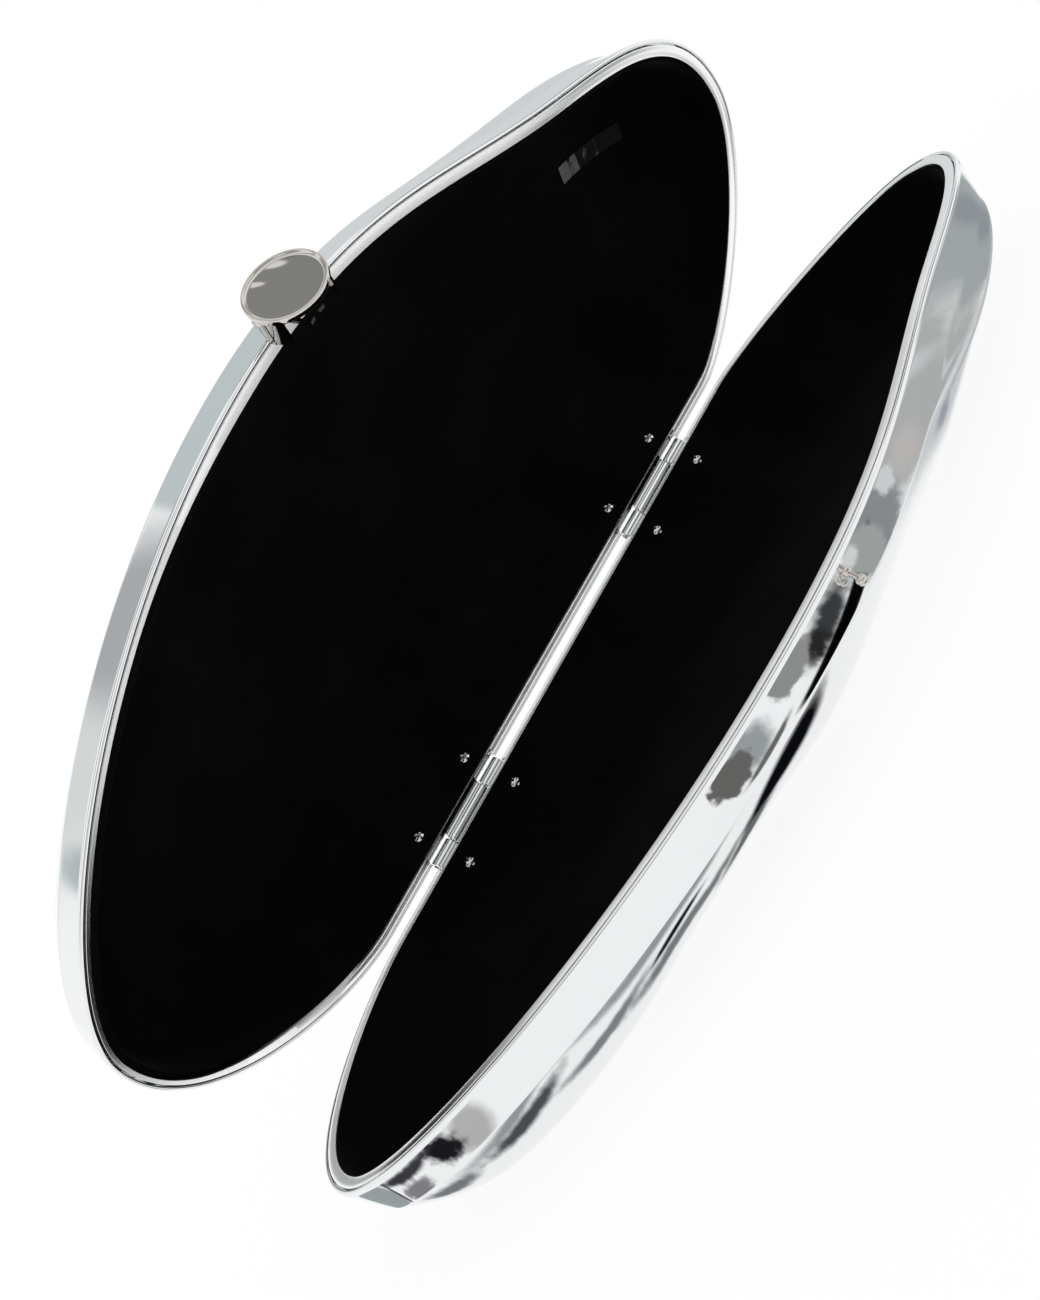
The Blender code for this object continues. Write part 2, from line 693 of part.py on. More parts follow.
def cap_frame():
    """Return the cap's frame: centred over the catch, and tilted a little towards the base."""
    tilt = Matrix.Rotation(math.radians(CAP_TILT_DEG), 4, "X")
    return clasp_frame() @ Matrix.Translation((0, CAP_N, 0)) @ tilt


def foot_cutter(gap):
    """Return the room that both bands take under the clasp while the lid swings, plus a gap.

    It follows the lid's leaning band. On the base's side it stays upright, because the base's
    shoulder passes there as the lid opens.
    """
    face_v = FRONT_V + SHELL_EDGE_W + CAP_STAND_OFF
    far = CAP_RADIUS * 2
    deep = -CAP_STAND_OFF * 4
    rings = []
    for step in range(FOOT_STEPS + 1):
        x = far * (2 * step / FOOT_STEPS - 1)
        edge = front_v(CLASP_U + x) - face_v + gap
        rings.append(
            [
                (x, -far, deep),
                (x, -far, edge + SHELL_EDGE_W),
                (x, SHOULDER_DROP, edge + SHELL_EDGE_W),
                (x, far, edge + band_w(far)),
                (x, far, deep),
            ]
        )
    return loft(rings, close_loop=False)


def clasp_rods(half_spacing, y, low, high, radius):
    """Return a pair of rods along the clasp's Z axis, one on each side of its middle."""
    rods = []
    for _, s in SIDES:
        rods.append(rod_mesh((s * half_spacing, y, low), (s * half_spacing, y, high), radius))
    return joined(rods)


def cap_pegs(radius, length):
    """Return the two pegs that rivet the cap to the block, in the cap's frame."""
    pegs = []
    for _, s in SIDES:
        place = (s * CAP_PEG_HALF_SPACING, CAP_PEG_PLACE)
        pegs.append(rod_mesh((*place, -CAP_THICKNESS - length), (*place, -CAP_DISH_DEPTH * 1.5), radius))
    return joined(pegs)


def make_clasp_cap(parent, material):
    """Model the cap: a dished disc with a rounded rim, and two cheeks round a hollow."""
    edge = CAP_EDGE_ROUNDING
    slope_radius = (CAP_RADIUS + CAP_DISH_RADIUS) / 2
    foot = -CAP_STAND_OFF * 2
    inner = COLLAR_RADIUS - COLLAR_WALL
    profile = (
        (inner / 2, -CAP_THICKNESS + CAP_SHOULDER),
        (inner, -CAP_THICKNESS + CAP_SHOULDER),
        (inner, foot),
        (COLLAR_RADIUS, foot),
        (COLLAR_RADIUS, -CAP_THICKNESS),
        (CAP_RADIUS - edge, -CAP_THICKNESS),
        (CAP_RADIUS, -CAP_THICKNESS + edge),
        (CAP_RADIUS, -edge),
        (CAP_RADIUS - edge / 4, -edge / 4),
        (CAP_RADIUS - edge, 0.0),
        (slope_radius, -CAP_DISH_DEPTH / 2),
        (CAP_DISH_RADIUS, -CAP_DISH_DEPTH),
        (CAP_DISH_RADIUS / 2, -CAP_DISH_DEPTH),
    )
    cap = add_piece("clasp_cap", turned_mesh(profile, CAP_SIDES), parent, material, cap_frame())
    combine(cap, foot_cutter(MOUTH_GAP), "DIFFERENCE", clasp_frame())
    far = CAP_RADIUS * 2
    shoulder = -CAP_THICKNESS - CAP_SHOULDER
    block_side = box_mesh((-far, COLLAR_SPLIT, -far), (far, far, shoulder))
    combine(cap, block_side, "DIFFERENCE", cap_frame())
    half_notch = MOUTH_NOTCH_HALF_WIDTH
    notch = box_mesh((-half_notch, -far, -far), (half_notch, -CAP_SHOULDER, shoulder - CAP_SHOULDER))
    turn = Matrix.Rotation(math.radians(MOUTH_NOTCH_TURN_DEG), 4, "Z")
    combine(cap, notch, "DIFFERENCE", cap_frame() @ turn)
    combine(cap, cap_pegs(CAP_PEG_RADIUS, CAP_PEG_LENGTH), "UNION", cap_frame())
    top = jaw_pin_top() + HOLE_GAP
    sockets = jaw_pin_rods(-far, top, JAW_PIN_RADIUS + PIN_GAP)
    combine(cap, sockets, "DIFFERENCE", clasp_frame())
    return cap


def jaw_pin_rods(low, high, radius):
    """Return a pair of rods on the jaws' axes, in the clasp's frame."""
    rods = []
    for _, s in SIDES:
        x = jaw_pivot_x(s)
        rods.append(rod_mesh((x, JAW_PIVOT_N, low), (x, JAW_PIVOT_N, high), radius))
    return joined(rods)


def clasp_screw_top():
    """Return how high the clasp screws reach in the clasp's frame."""
    return band_w(CLASP_SCREW_N) - SHELL_EDGE_W - CAP_STAND_OFF + SEAT_GAP + CLASP_SCREW_BITE


def jaw_pin_top():
    """Return how high the jaw pins reach in the clasp's frame, where the tilted cap's back is."""
    tilt = math.radians(CAP_TILT_DEG)
    back = -CAP_THICKNESS / math.cos(tilt) + (JAW_PIVOT_N - CAP_N) * math.tan(tilt)
    return back + JAW_PIN_BITE


def jaw_pivot_u():
    """Return the distance of each jaw's pivot from the ball's middle."""
    return BALL_RADIUS + JAW_BALL_GAP + JAW_ARM_WIDTH / 2 + JAW_EYE_RADIUS


def jaw_pivot_x(s):
    """Return the x of one jaw's pivot in the clasp's frame."""
    return CATCH_U - CLASP_U + s * jaw_pivot_u()


def make_clasp_block(parent, material):
    """Model the block that carries the cap: a hollowed round segment and a pad on the band."""
    top = -CAP_THICKNESS - CAP_SHOULDER - SEAT_GAP / 2
    foot = -CAP_STAND_OFF * 2
    solid = turned_mesh(((COLLAR_RADIUS, foot), (COLLAR_RADIUS, top)), CAP_SIDES)
    block = add_piece("clasp_block", solid, parent, material, cap_frame())
    far = CAP_RADIUS * 2
    split = COLLAR_SPLIT + COLLAR_SPLIT_GAP
    jaw_side = box_mesh((-far, -far, -far), (far, split, far))
    combine(block, jaw_side, "DIFFERENCE", cap_frame())
    combine(block, block_hollow(), "DIFFERENCE", cap_frame())
    low = band_w(PAD_END_N) - SHELL_EDGE_W - CAP_STAND_OFF - BAND_WALL
    high = low + BAND_WALL + PAD_THICKNESS + SEAT_GAP
    pad = box_mesh((-PAD_HALF_WIDTH, PAD_START_N, low), (PAD_HALF_WIDTH, PAD_END_N, high))
    combine(block, pad, "UNION", clasp_frame())
    combine(block, foot_cutter(SEAT_GAP), "DIFFERENCE", clasp_frame())
    radius = SCREW_SHANK_RADIUS + HOLE_GAP
    top = clasp_screw_top() + HOLE_GAP
    holes = clasp_rods(CLASP_SCREW_HALF_SPACING, CLASP_SCREW_N, -far, top, radius)
    combine(block, holes, "DIFFERENCE", clasp_frame())
    pegs = cap_pegs(CAP_PEG_RADIUS + HOLE_GAP, CAP_PEG_LENGTH + HOLE_GAP)
    combine(block, pegs, "DIFFERENCE", cap_frame())
    return block


def block_hollow():
    """Return the jaws' room in the block: a round bar's segment with a flat back."""
    inner = COLLAR_RADIUS - COLLAR_WALL
    end = math.asin(COLLAR_HOLLOW_END / inner)
    angles = np.linspace(-math.pi - end, end, CAP_SIDES)
    outline = [(inner * math.cos(a), inner * math.sin(a)) for a in angles]
    return prism_mesh(outline, -CAP_STAND_OFF * 2, CAP_STAND_OFF, axis=2)


def clasp_inner_wall(x):
    """Return the height in the clasp's frame of the band's inner face at a clasp screw."""
    drop = SHELL_EDGE_W + CAP_STAND_OFF
    return front_v(CLASP_U + x) - FRONT_V + band_w(CLASP_SCREW_N) - BAND_WALL - drop


def make_clasp_screws(parent, material):
    """Model the two screws that hold the clasp from inside the lid."""
    radius = CLASP_SCREW_HEAD_RADIUS
    room = HOLE_GAP + radius * math.tan(wall_tilt())
    for name, s in SIDES:
        u = s * CLASP_SCREW_HALF_SPACING
        seat_z = clasp_inner_wall(u) - room
        seat = (u, CLASP_SCREW_N, seat_z)
        tip = (u, CLASP_SCREW_N, clasp_screw_top())
        screw = screw_mesh(seat, tip, radius, CLASP_SCREW_HEAD_HEIGHT, SCREW_SHANK_RADIUS)
        add_piece(f"clasp_screw_{name}", screw, parent, material, clasp_frame())


def drill_lid_for_clasp(lid_shell):
    """Cut the clasp screws' holes through the lid's front wall."""
    low = clasp_inner_wall(0.0) - BAND_WALL
    radius = SCREW_SHANK_RADIUS + HOLE_GAP
    holes = clasp_rods(CLASP_SCREW_HALF_SPACING, CLASP_SCREW_N, low, 0.0, radius)
    combine(lid_shell, holes, "DIFFERENCE", clasp_frame())


def jaw_height():
    """Return the height of the jaws in the clasp's frame, a little above the ball's middle."""
    return BALL_STAND_OFF - SHELL_EDGE_W - CAP_STAND_OFF + JAW_RISE


def make_jaw(name, s, parent, material):
    """Model one jaw: an eye on its pin, an arm beside the ball, and a tip that hooks in under it."""
    pivot_u = jaw_pivot_u()
    inner = BALL_RADIUS + JAW_BALL_GAP - pivot_u
    outer = inner + JAW_ARM_WIDTH
    ball_n = -(BALL_N + MOUTH_GAP) - JAW_PIVOT_N
    tip_start = ball_n - BALL_RADIUS - JAW_BALL_GAP
    hook = inner - JAW_TIP_BITE
    outline = [
        (inner, 0.0),
        (outer, 0.0),
        (outer, tip_start - JAW_TIP_LENGTH),
        (hook, tip_start - JAW_TIP_LENGTH * 2 / 3),
        (hook, tip_start - JAW_TIP_LENGTH / 3),
        (inner, tip_start),
    ]
    outline = [(s * x, y) for x, y in outline]
    low = -JAW_THICKNESS / 2
    high = JAW_THICKNESS / 2
    jaw = add_piece(name, prism_mesh(outline, low, high, axis=2), parent, material)
    combine(jaw, rod_mesh((0, 0, low), (0, 0, high), JAW_EYE_RADIUS), "UNION")
    combine(jaw, rod_mesh((0, 0, low * 3), (0, 0, high * 3), JAW_PIN_RADIUS + PIN_GAP), "DIFFERENCE")
    return jaw


def make_jaw_pin(name, s, parent, material):
    """Model the headed pin that hangs from the cap and carries one jaw."""
    head_top = jaw_height() - JAW_THICKNESS / 2 - HOLE_GAP
    profile = (
        (JAW_PIN_HEAD_RADIUS, head_top - JAW_PIN_HEAD),
        (JAW_PIN_HEAD_RADIUS, head_top),
        (JAW_PIN_RADIUS, head_top),
        (JAW_PIN_RADIUS, jaw_pin_top()),
    )
    place = Matrix.Translation((jaw_pivot_x(s), JAW_PIVOT_N, 0))
    pin = turned_mesh(profile, ROUND_SIDES)
    return add_piece(name, pin, parent, material, clasp_frame() @ place)


def stud_frame():
    """Return the stud's frame in the base: origin in the ball, Z back along the neck."""
    ball = Vector((CATCH_U, FRONT_V + BALL_STAND_OFF, BALL_N))
    tilt = math.radians(STUD_TILT_DEG)
    back = Vector((0, -math.cos(tilt), -math.sin(tilt)))
    turn = back.to_track_quat("Z", "Y").to_matrix().to_4x4()
    return half_matrix(-1) @ Matrix.Translation(ball) @ turn


def stud_reach():
    """Return the distance along the neck from the ball's centre to the stud's inner end."""
    tilt = math.radians(STUD_TILT_DEG)
    lean = BAND_LEAN / (BAND_DEPTH - SHOULDER_DROP)
    over_band = BALL_STAND_OFF - band_w(BALL_N)
    return over_band / (math.cos(tilt) + lean * math.sin(tilt)) + STUD_BITE


def make_catch_stud(parent, material):
    """Model the ball stud: a turned ball on a neck that is riveted into the base's band."""
    neck_angle = math.asin(STUD_RADIUS / BALL_RADIUS)
    profile = []
    for k in range(BALL_STEPS):
        angle = math.pi - (math.pi - neck_angle) * (k + 0.5) / (BALL_STEPS - 0.5)
        profile.append((BALL_RADIUS * math.sin(angle), BALL_RADIUS * math.cos(angle)))
    profile.append((STUD_RADIUS, stud_reach()))
    return add_piece("catch_stud", turned_mesh(profile, ROUND_SIDES), parent, material, stud_frame())


def drill_base_for_stud(base_shell):
    """Cut the blind hole for the stud's neck into the base's front wall."""
    hole = rod_mesh((0, 0, 0), (0, 0, stud_reach() + HOLE_GAP), STUD_RADIUS + HOLE_GAP)
    combine(base_shell, hole, "DIFFERENCE", stud_frame())


def floor_depth(u, v):
    """Return the depth of the floor lining's top under a point."""
    lift = FACE_WALL + SEAT_GAP + LINING_FLOOR
    rings = np.array([face_ring(step, lift) for step in INNER_STEPS])
    spot = np.array((u, v))
    best = None
    for index in range(len(MOUTH)):
        line = rings[:, index, :2]
        inset = np.linalg.norm(line - line[0], axis=1)
        heading = (line[-1] - line[0]) / inset[-1]
        along = float(np.clip(heading @ (spot - line[0]), 0.0, inset[-1]))
        miss = float(np.linalg.norm(line[0] + heading * along - spot))
        if best is None or miss < best[0]:
            best = (miss, float(np.interp(along, inset, rings[:, index, 2])))
    return best[1]


def make_film_tab(parent, material):
    """Model the bare film strip, laid along the lining with a small gap."""
    turn = math.radians(FILM_TURN_DEG)
    along = np.array((math.cos(turn), math.sin(turn)))
    across = np.array((-along[1], along[0]))
    rings = []
    for k in range(FILM_STEPS + 1):
        middle = np.array((FILM_U, FILM_V)) + along * FILM_LENGTH * (k / FILM_STEPS - 0.5)
        depth = min(floor_depth(*(middle + across * FILM_WIDTH * s)) for s in (-0.5, 0.5))
        depth -= SEAT_GAP
        ring = []
        for s, rise in ((-0.5, 0.0), (0.5, 0.0), (0.5, FILM_THICKNESS), (-0.5, FILM_THICKNESS)):
            point = middle + across * FILM_WIDTH * s
            ring.append((point[0], point[1], depth - rise))
        rings.append(ring)
    return add_piece("film_tab", loft(rings, close_loop=False), parent, material, half_matrix(1))


def make_half(side, name, parent, finishes):
    """Model what both halves share: shell, rim, lining, hinge leaves and their screws."""
    chrome, velvet, steel = finishes
    shell = make_shell(side, f"{name}_shell", parent, chrome)
    make_rim(side, f"{name}_rim", parent, chrome)
    make_wall_lining(side, f"{name}_lining_wall", parent, velvet)
    make_floor_lining(side, f"{name}_lining_floor", parent, velvet)
    for place, centre in hinge_centres():
        make_leaf(side, f"{name}_hinge_leaf_{place}", centre, parent, chrome)
        make_hinge_screws(side, f"{name}_hinge_screw_{place}", centre, parent, steel)
    return shell


def main():
    """Build the clutch."""
    for old in list(bpy.data.objects):
        bpy.data.objects.remove(old)
    chrome = make_material("mirror_chrome", (0.86, 0.87, 0.88), 1.0, 0.04)
    steel = make_material("polished_steel", (0.70, 0.70, 0.72), 1.0, 0.15)
    velvet = make_material("black_velvet", (0.004, 0.004, 0.004), 0.0, 0.9)
    film = make_material("clear_film", (0.30, 0.31, 0.33), 0.0, 0.2)
    finishes = (chrome, velvet, steel)

    base = add_empty("base_frame", (0, HINGE_Y, HINGE_Z))
    lid = add_empty("lid_pivot", (0, HINGE_Y, HINGE_Z), turn_x_deg=-LID_OPEN_DEG)

    base_shell = make_half(-1, "base", base, finishes)
    for place, centre in hinge_centres():
        make_hinge_pin(f"hinge_pin_{place}", centre, base, steel)
    make_catch_stud(base, chrome)
    drill_base_for_stud(base_shell)

    lid_shell = make_half(1, "lid", lid, finishes)
    make_clasp_cap(lid, chrome)
    make_clasp_block(lid, chrome)
    make_clasp_screws(lid, steel)
    drill_lid_for_clasp(lid_shell)
    for name, s in SIDES:
        make_jaw_pin(f"clasp_jaw_pin_{name}", s, lid, steel)
        pivot = add_empty(f"jaw_{name}_pivot", (0, 0, 0), lid)
        place = Matrix.Translation((jaw_pivot_x(s), JAW_PIVOT_N, jaw_height()))
        pivot.matrix_local = clasp_frame() @ place
        make_jaw(f"clasp_jaw_{name}", s, pivot, steel)
    make_film_tab(lid, film)


main()
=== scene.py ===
"""Looks for a hard-shell evening clutch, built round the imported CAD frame.

Each half is drawn in a hinge frame. u runs along the hinge axis, v from the axis to the front
edge, n from the mouth of the half down into its shell, and w is a distance outside the mouth's
edge. Lengths are in millimetres until a piece is placed in the row frame, which is in metres.
"""

import logging
import math
from dataclasses import dataclass
from enum import Enum

import bmesh
import bpy
import numpy as np
from mathutils import Matrix, Vector

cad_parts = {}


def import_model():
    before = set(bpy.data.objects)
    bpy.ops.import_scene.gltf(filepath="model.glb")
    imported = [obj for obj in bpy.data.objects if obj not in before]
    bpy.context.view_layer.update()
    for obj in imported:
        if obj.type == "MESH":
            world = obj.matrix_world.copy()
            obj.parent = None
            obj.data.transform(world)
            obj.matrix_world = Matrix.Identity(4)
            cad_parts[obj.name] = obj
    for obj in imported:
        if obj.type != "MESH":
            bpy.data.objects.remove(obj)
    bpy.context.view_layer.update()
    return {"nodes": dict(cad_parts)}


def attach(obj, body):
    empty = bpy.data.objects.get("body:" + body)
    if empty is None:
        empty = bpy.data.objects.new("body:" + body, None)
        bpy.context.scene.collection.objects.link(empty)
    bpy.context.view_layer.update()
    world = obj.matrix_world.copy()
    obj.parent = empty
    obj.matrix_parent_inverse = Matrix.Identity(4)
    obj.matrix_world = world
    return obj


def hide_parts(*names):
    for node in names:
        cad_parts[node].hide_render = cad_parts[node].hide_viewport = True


LOG = logging.getLogger("clutch")
MM = 0.001
WHITE = (1.0, 1.0, 1.0, 1.0)
CHROME = "mirror_chrome"
Socket = bpy.types.NodeSocket
Triple = tuple[float, float, float]

# The lid's opening and the gap between the closed rims.
LID_OPEN_DEG = 58.4
MOUTH_GAP = 0.3

# Rim frame.
RIM_WIDTH = 2.05
RIM_PLATE = 0.8
RIM_LIP = 0.45
RIM_SOFT_EDGE = 0.1
FLANGE_DEPTH = 2.8
FLANGE_THICKNESS = 0.5
SEAT_GAP = 0.25

# How far the lid's rim narrows, and the places along u and v where that starts and its lengths.
RIM_NARROWING = 0.6
NARROWING_U = -15.0
NARROWING_LENGTH_U = 45.0
NARROWING_V = 5.0
NARROWING_LENGTH_V = 22.0

# Shell.
SHELL_LIP = 0.75
SHELL_EDGE_W = RIM_WIDTH + SEAT_GAP + SHELL_LIP
SHOULDER_DROP = 0.65
BAND_START = 1.2
BAND_DEPTH = 8.2
BAND_LEAN = 2.3
BAND_WALL = 0.9
WALL_TOP = 1.4
CREASE_ROUNDING = 0.35
FACE_DEPTH = 12.0
FACE_WALL = 1.0
FACE_ROUNDNESS = 1.8
CREASE_W = SHELL_EDGE_W - BAND_LEAN
SPINE_LEFT_U = -50.0
SPINE_RIGHT_U = 42.0
SPINE_V = 48.0
STEP_DEPTH = 4.6
STEP_ROUNDING = 1.0
STEP_U = 68.0
STEP_HALF_LENGTH = 42.0
SLOPE_PLACES = (-120.0, -95.0, -74.0, -54.0, -36.0, -17.0, 12.0, 54.0, 80.0, 115.0)
SLOPE_REACHES = (16.0, 16.0, 17.5, 23.0, 26.0, 21.0, 26.0, 16.5, 27.0, 18.0)
HINGE_SLOPE_REACH = 18.0
HINGE_SIDE_V = 20.0
FRONT_SIDE_V = 45.0

# Lining.
LINING_FLOOR = 1.0
LINING_BACK = 1.9
LINING_DROP_V = 30.0
LINING_DROP_LENGTH = 40.0

# Hinges.
HINGE_HALF_SPACING = 37.0
HINGE_HALF_LENGTH = 11.5
MIDDLE_KNUCKLE_HALF_LENGTH = 5.9
KNUCKLE_GAP = 0.125
KNUCKLE_CHAMFER = 0.12
BARREL_RADIUS = 1.1
NOTCH_DEPTH = 1.35
NOTCH_STATION = 3.0
LEAF_TOP = 0.3
LEAF_BEND = 1.05
LEAF_DEPTH = 6.0
LEAF_THICKNESS = 0.5
STRAP_TOP = 0.2
STRAP_START_V = 0.75
STRAP_GAP = 0.12
STRAP_INSET = 0.05

# Hinge screws.
SCREW_HALF_SPACING = 8.5
SCREW_DEPTH = 3.9
SCREW_SEAT = 0.1
SCREW_TURN_DEG = 20.0
SCREW_HEAD_RADIUS = 0.95
SCREW_HEAD_HEIGHT = 0.5
SCREW_DOME_FALL = 0.75
SCREW_DOME_POWER = 2.4
SHANK_RADIUS = 0.5
SHANK_LENGTH = 1.7
CROSS_ARM = 0.14
CROSS_WALL = 0.12
CROSS_REACH = 0.72
CROSS_END = 0.14
CROSS_DEPTH = 0.4

# Clasp.
CLASP_U = -3.2
CAP_STAND_OFF = 6.8
CAP_N = -4.0
CAP_TILT_DEG = 7.0
CAP_RADIUS = 7.4
CAP_THICKNESS = 1.3
CAP_MIDDLE = 0.2
CAP_DISH_INSET = 0.85
CAP_DISH_START = 0.48
CAP_DISH_DEPTH = 0.6
COLLAR_RADIUS = 6.9
COLLAR_WALL = 0.8
COLLAR_SPLIT = 0.1
COLLAR_SPLIT_GAP = 0.35
COLLAR_HOLLOW_END = 4.8
CHEEK_OVERLAP = 0.05
CHEEK_CHAMFER = 0.15
CHEEK_DRAW_OUTER = 0.98
CHEEK_DRAW_INNER = 1.015
STEM_TOP_GAP = 0.1
MOUTH_NOTCH_HALF_WIDTH = 5.2
MOUTH_NOTCH_TURN_DEG = -13.0
PAD_HALF_WIDTH = 3.2
PAD_START_N = 1.2
PAD_END_N = 5.4
PAD_THICKNESS = 1.8

# Ball stud.
CATCH_U = -3.8
BALL_RADIUS = 0.95
BALL_TIP = 0.06
BALL_N = 5.3
BALL_STAND_OFF = 3.7
STUD_RADIUS = 0.6
STUD_NECK_RADIUS = 0.42
STUD_TILT_DEG = 72.0

# The shell's rounded lip, as (w outside the rim's seat, n).
SHELL_LIP_SECTION = (
    (0.0, 0.3), (0.02, 0.14), (0.1, 0.04), (0.26, 0.0),
    (0.45, 0.03), (0.6, 0.12), (0.7, 0.3), (SHELL_LIP, SHOULDER_DROP),
)

# The rim's plate as (w, n): its inner edge, top and outer edge, and its back behind the flange.
RIM_TOP_SECTION = (
    (0.0, 0.55), (0.0, 0.14), (0.03, 0.05), (0.12, 0.0), (1.9, 0.0),
    (2.0, 0.04), (RIM_WIDTH, 0.15), (RIM_WIDTH, RIM_PLATE), (1.7, RIM_PLATE),
)
RIM_BACK_SECTION = ((1.2, RIM_PLATE), (0.1, RIM_PLATE))

# Section of the velvet's wall strip as (w, n), along the hinge and round the front.
LINING_AT_HINGE = (
    (0.55, 1.0), (-0.03, 0.95), (-0.03, 0.16), (-0.08, 0.1), (-0.16, 0.2),
    (-0.22, 1.5), (-0.3, 3.4), (-0.7, 6.4), (-1.2, 7.7),
)
LINING_AT_FRONT = (
    (0.55, 1.0), (-0.9, 0.98), (-1.05, 1.0), (-1.15, 1.06), (-1.25, 1.15),
    (-1.37, 1.5), (-1.6, 3.4), (-2.0, 6.4), (-2.45, 7.7),
)

# Depths of the strip's back, and shares of the slope where the rings of each inner face lie.
LINING_BACK_DEPTHS = (7.2, 3.4, 1.2)
LINING_BACK_STEPS = (1.0, 0.6, 0.33, 0.17, 0.1)
LINING_FACE_STEPS = (0.08, 0.12, 0.17, 0.24, 0.33, 0.44, 0.58, 0.76, 1.0)
SHELL_INSIDE_STEPS = (1.0, 0.65, 0.4, 0.22, 0.1)

# The cap's edge as (inset from its radius, height), over its back and under its front.
CAP_BACK_EDGE = ((0.4, 0.0), (0.15, 0.06), (0.03, 0.2), (0.0, 0.4))
CAP_FRONT_EDGE = (
    (0.0, -0.4), (0.04, -0.18), (0.12, -0.05), (0.24, 0.0),
    (0.34, -0.04), (0.44, -0.14), (0.54, -0.28), (0.66, -0.4),
)

# The stud behind its ball as (radius, distance from the ball), with the collar at its foot.
STUD_SECTION = (
    (STUD_NECK_RADIUS, 1.1), (STUD_NECK_RADIUS, 2.0), (STUD_RADIUS, 2.2), (0.85, 2.4),
    (0.9, 2.7), (0.85, 3.0), (STUD_RADIUS, 3.2), (STUD_RADIUS, 4.0),
)


class Side(Enum):
    """The two halves of the case, with the sign of their depth in the hinge frame."""

    BASE = -1
    LID = 1


@dataclass(frozen=True)
class Knot:
    """A point of the mouth outline, with the heading there and the reach of its two handles."""

    u: float
    v: float
    heading_deg: float
    reach_in: float
    reach_out: float
    steps: int


# Mouth outline: the rim's inner edge, from the hinge line round the left end and the front.
OUTLINE_KNOTS = (
    Knot(-63.0, 3.7, 180.0, 40.0, 15.5, 84),
    Knot(-108.3, 41.0, 90.0, 21.0, 18.0, 150),
    Knot(-10.0, 92.4, 0.0, 52.5, 28.5, 90),
    Knot(57.5, 72.8, -22.0, 26.0, 20.0, 84),
    Knot(99.5, 40.5, -90.0, 21.0, 15.5, 78),
    Knot(61.0, 3.7, 180.0, 11.5, 40.0, 40),
)


class Outline:
    """The mouth outline as points, outward normals and a mark where a hinge notches it."""

    def __init__(self, knots: tuple[Knot, ...]) -> None:
        """Trace the Bezier spans between the knots, with doubled stations at hinge notches.

        Args:
            knots: The outline's knots, in order round the mouth.
        """
        points: list[np.ndarray] = []
        normals: list[tuple[float, float]] = []
        notched: list[bool] = []
        for index, start in enumerate(knots):
            end = knots[(index + 1) % len(knots)]
            if start.v == end.v and start.heading_deg == end.heading_deg:
                for u, in_notch in self._hinge_stations(start, end):
                    points.append(np.array((u, start.v)))
                    normals.append((0.0, -1.0))
                    notched.append(in_notch)
                continue
            for step in range(start.steps):
                point, heading = self._bezier(start, end, step / start.steps)
                points.append(point)
                normals.append((-heading[1], heading[0]))
                notched.append(False)
        self.points = np.array(points)
        self.normals = np.array(normals)
        self.notched = np.array(notched)

    @staticmethod
    def _bezier(start: Knot, end: Knot, share: float) -> tuple[np.ndarray, np.ndarray]:
        """Return the point and the unit heading at one share of the span between two knots.

        Args:
            start: The knot where the span starts.
            end: The knot where it ends.
            share: The share of the span, from 0 to 1.

        Returns:
            The point and the unit heading, both as (u, v).
        """
        out_angle = math.radians(start.heading_deg)
        in_angle = math.radians(end.heading_deg)
        p0 = np.array((start.u, start.v))
        p3 = np.array((end.u, end.v))
        p1 = p0 + start.reach_out * np.array((math.cos(out_angle), math.sin(out_angle)))
        p2 = p3 - end.reach_in * np.array((math.cos(in_angle), math.sin(in_angle)))
        rest = 1 - share
        point = rest**3 * p0 + 3 * rest**2 * share * p1 + 3 * rest * share**2 * p2 + share**3 * p3
        slope = rest**2 * (p1 - p0) + 2 * rest * share * (p2 - p1) + share**2 * (p3 - p2)
        return point, slope / np.linalg.norm(slope)

    @staticmethod
    def _hinge_stations(start: Knot, end: Knot) -> list[tuple[float, bool]]:
        """Return the straight hinge span's stations, doubled where a notch begins or ends.

        Args:
            start: The knot where the span starts.
            end: The knot where it ends.

        Returns:
            Each station's u, and whether it lies in a notch.
        """
        stations: list[tuple[float, bool]] = []
        reach = HINGE_HALF_LENGTH + SEAT_GAP
        cuts = []
        for centre in (HINGE_HALF_SPACING, -HINGE_HALF_SPACING):
            cuts += [centre + reach, centre - reach]
        u = start.u
        inside = False
        for cut in cuts + [end.u]:
            count = max(2, int(abs(u - cut) / NOTCH_STATION))
            for step in range(count + 1):
                stations.append((u + (cut - u) * step / count, inside))
            u = cut
            inside = not inside
        return stations[:-1]

    def front_v(self, u: float) -> float:
        """Return the v of the front edge at a given u.

        Args:
            u: The place along the hinge axis.

        Returns:
            The front edge's v.
        """
        front = self.points[self.points[:, 1] > SPINE_V]
        front = front[np.argsort(front[:, 0])]
        return float(np.interp(u, front[:, 0], front[:, 1]))


OUTLINE = Outline(OUTLINE_KNOTS)
HINGE_LINE_V = OUTLINE_KNOTS[0].v
HINGE_POINT = Vector((0.0, SPINE_V, BAND_DEPTH + FACE_DEPTH + MOUTH_GAP / 2))


def band_w(n: float) -> float:
    """Return how far the band's outer face stands outside the mouth's edge at depth n."""
    fall = max(n - SHOULDER_DROP, 0.0) / (BAND_DEPTH - SHOULDER_DROP)
    return SHELL_EDGE_W - BAND_LEAN * fall


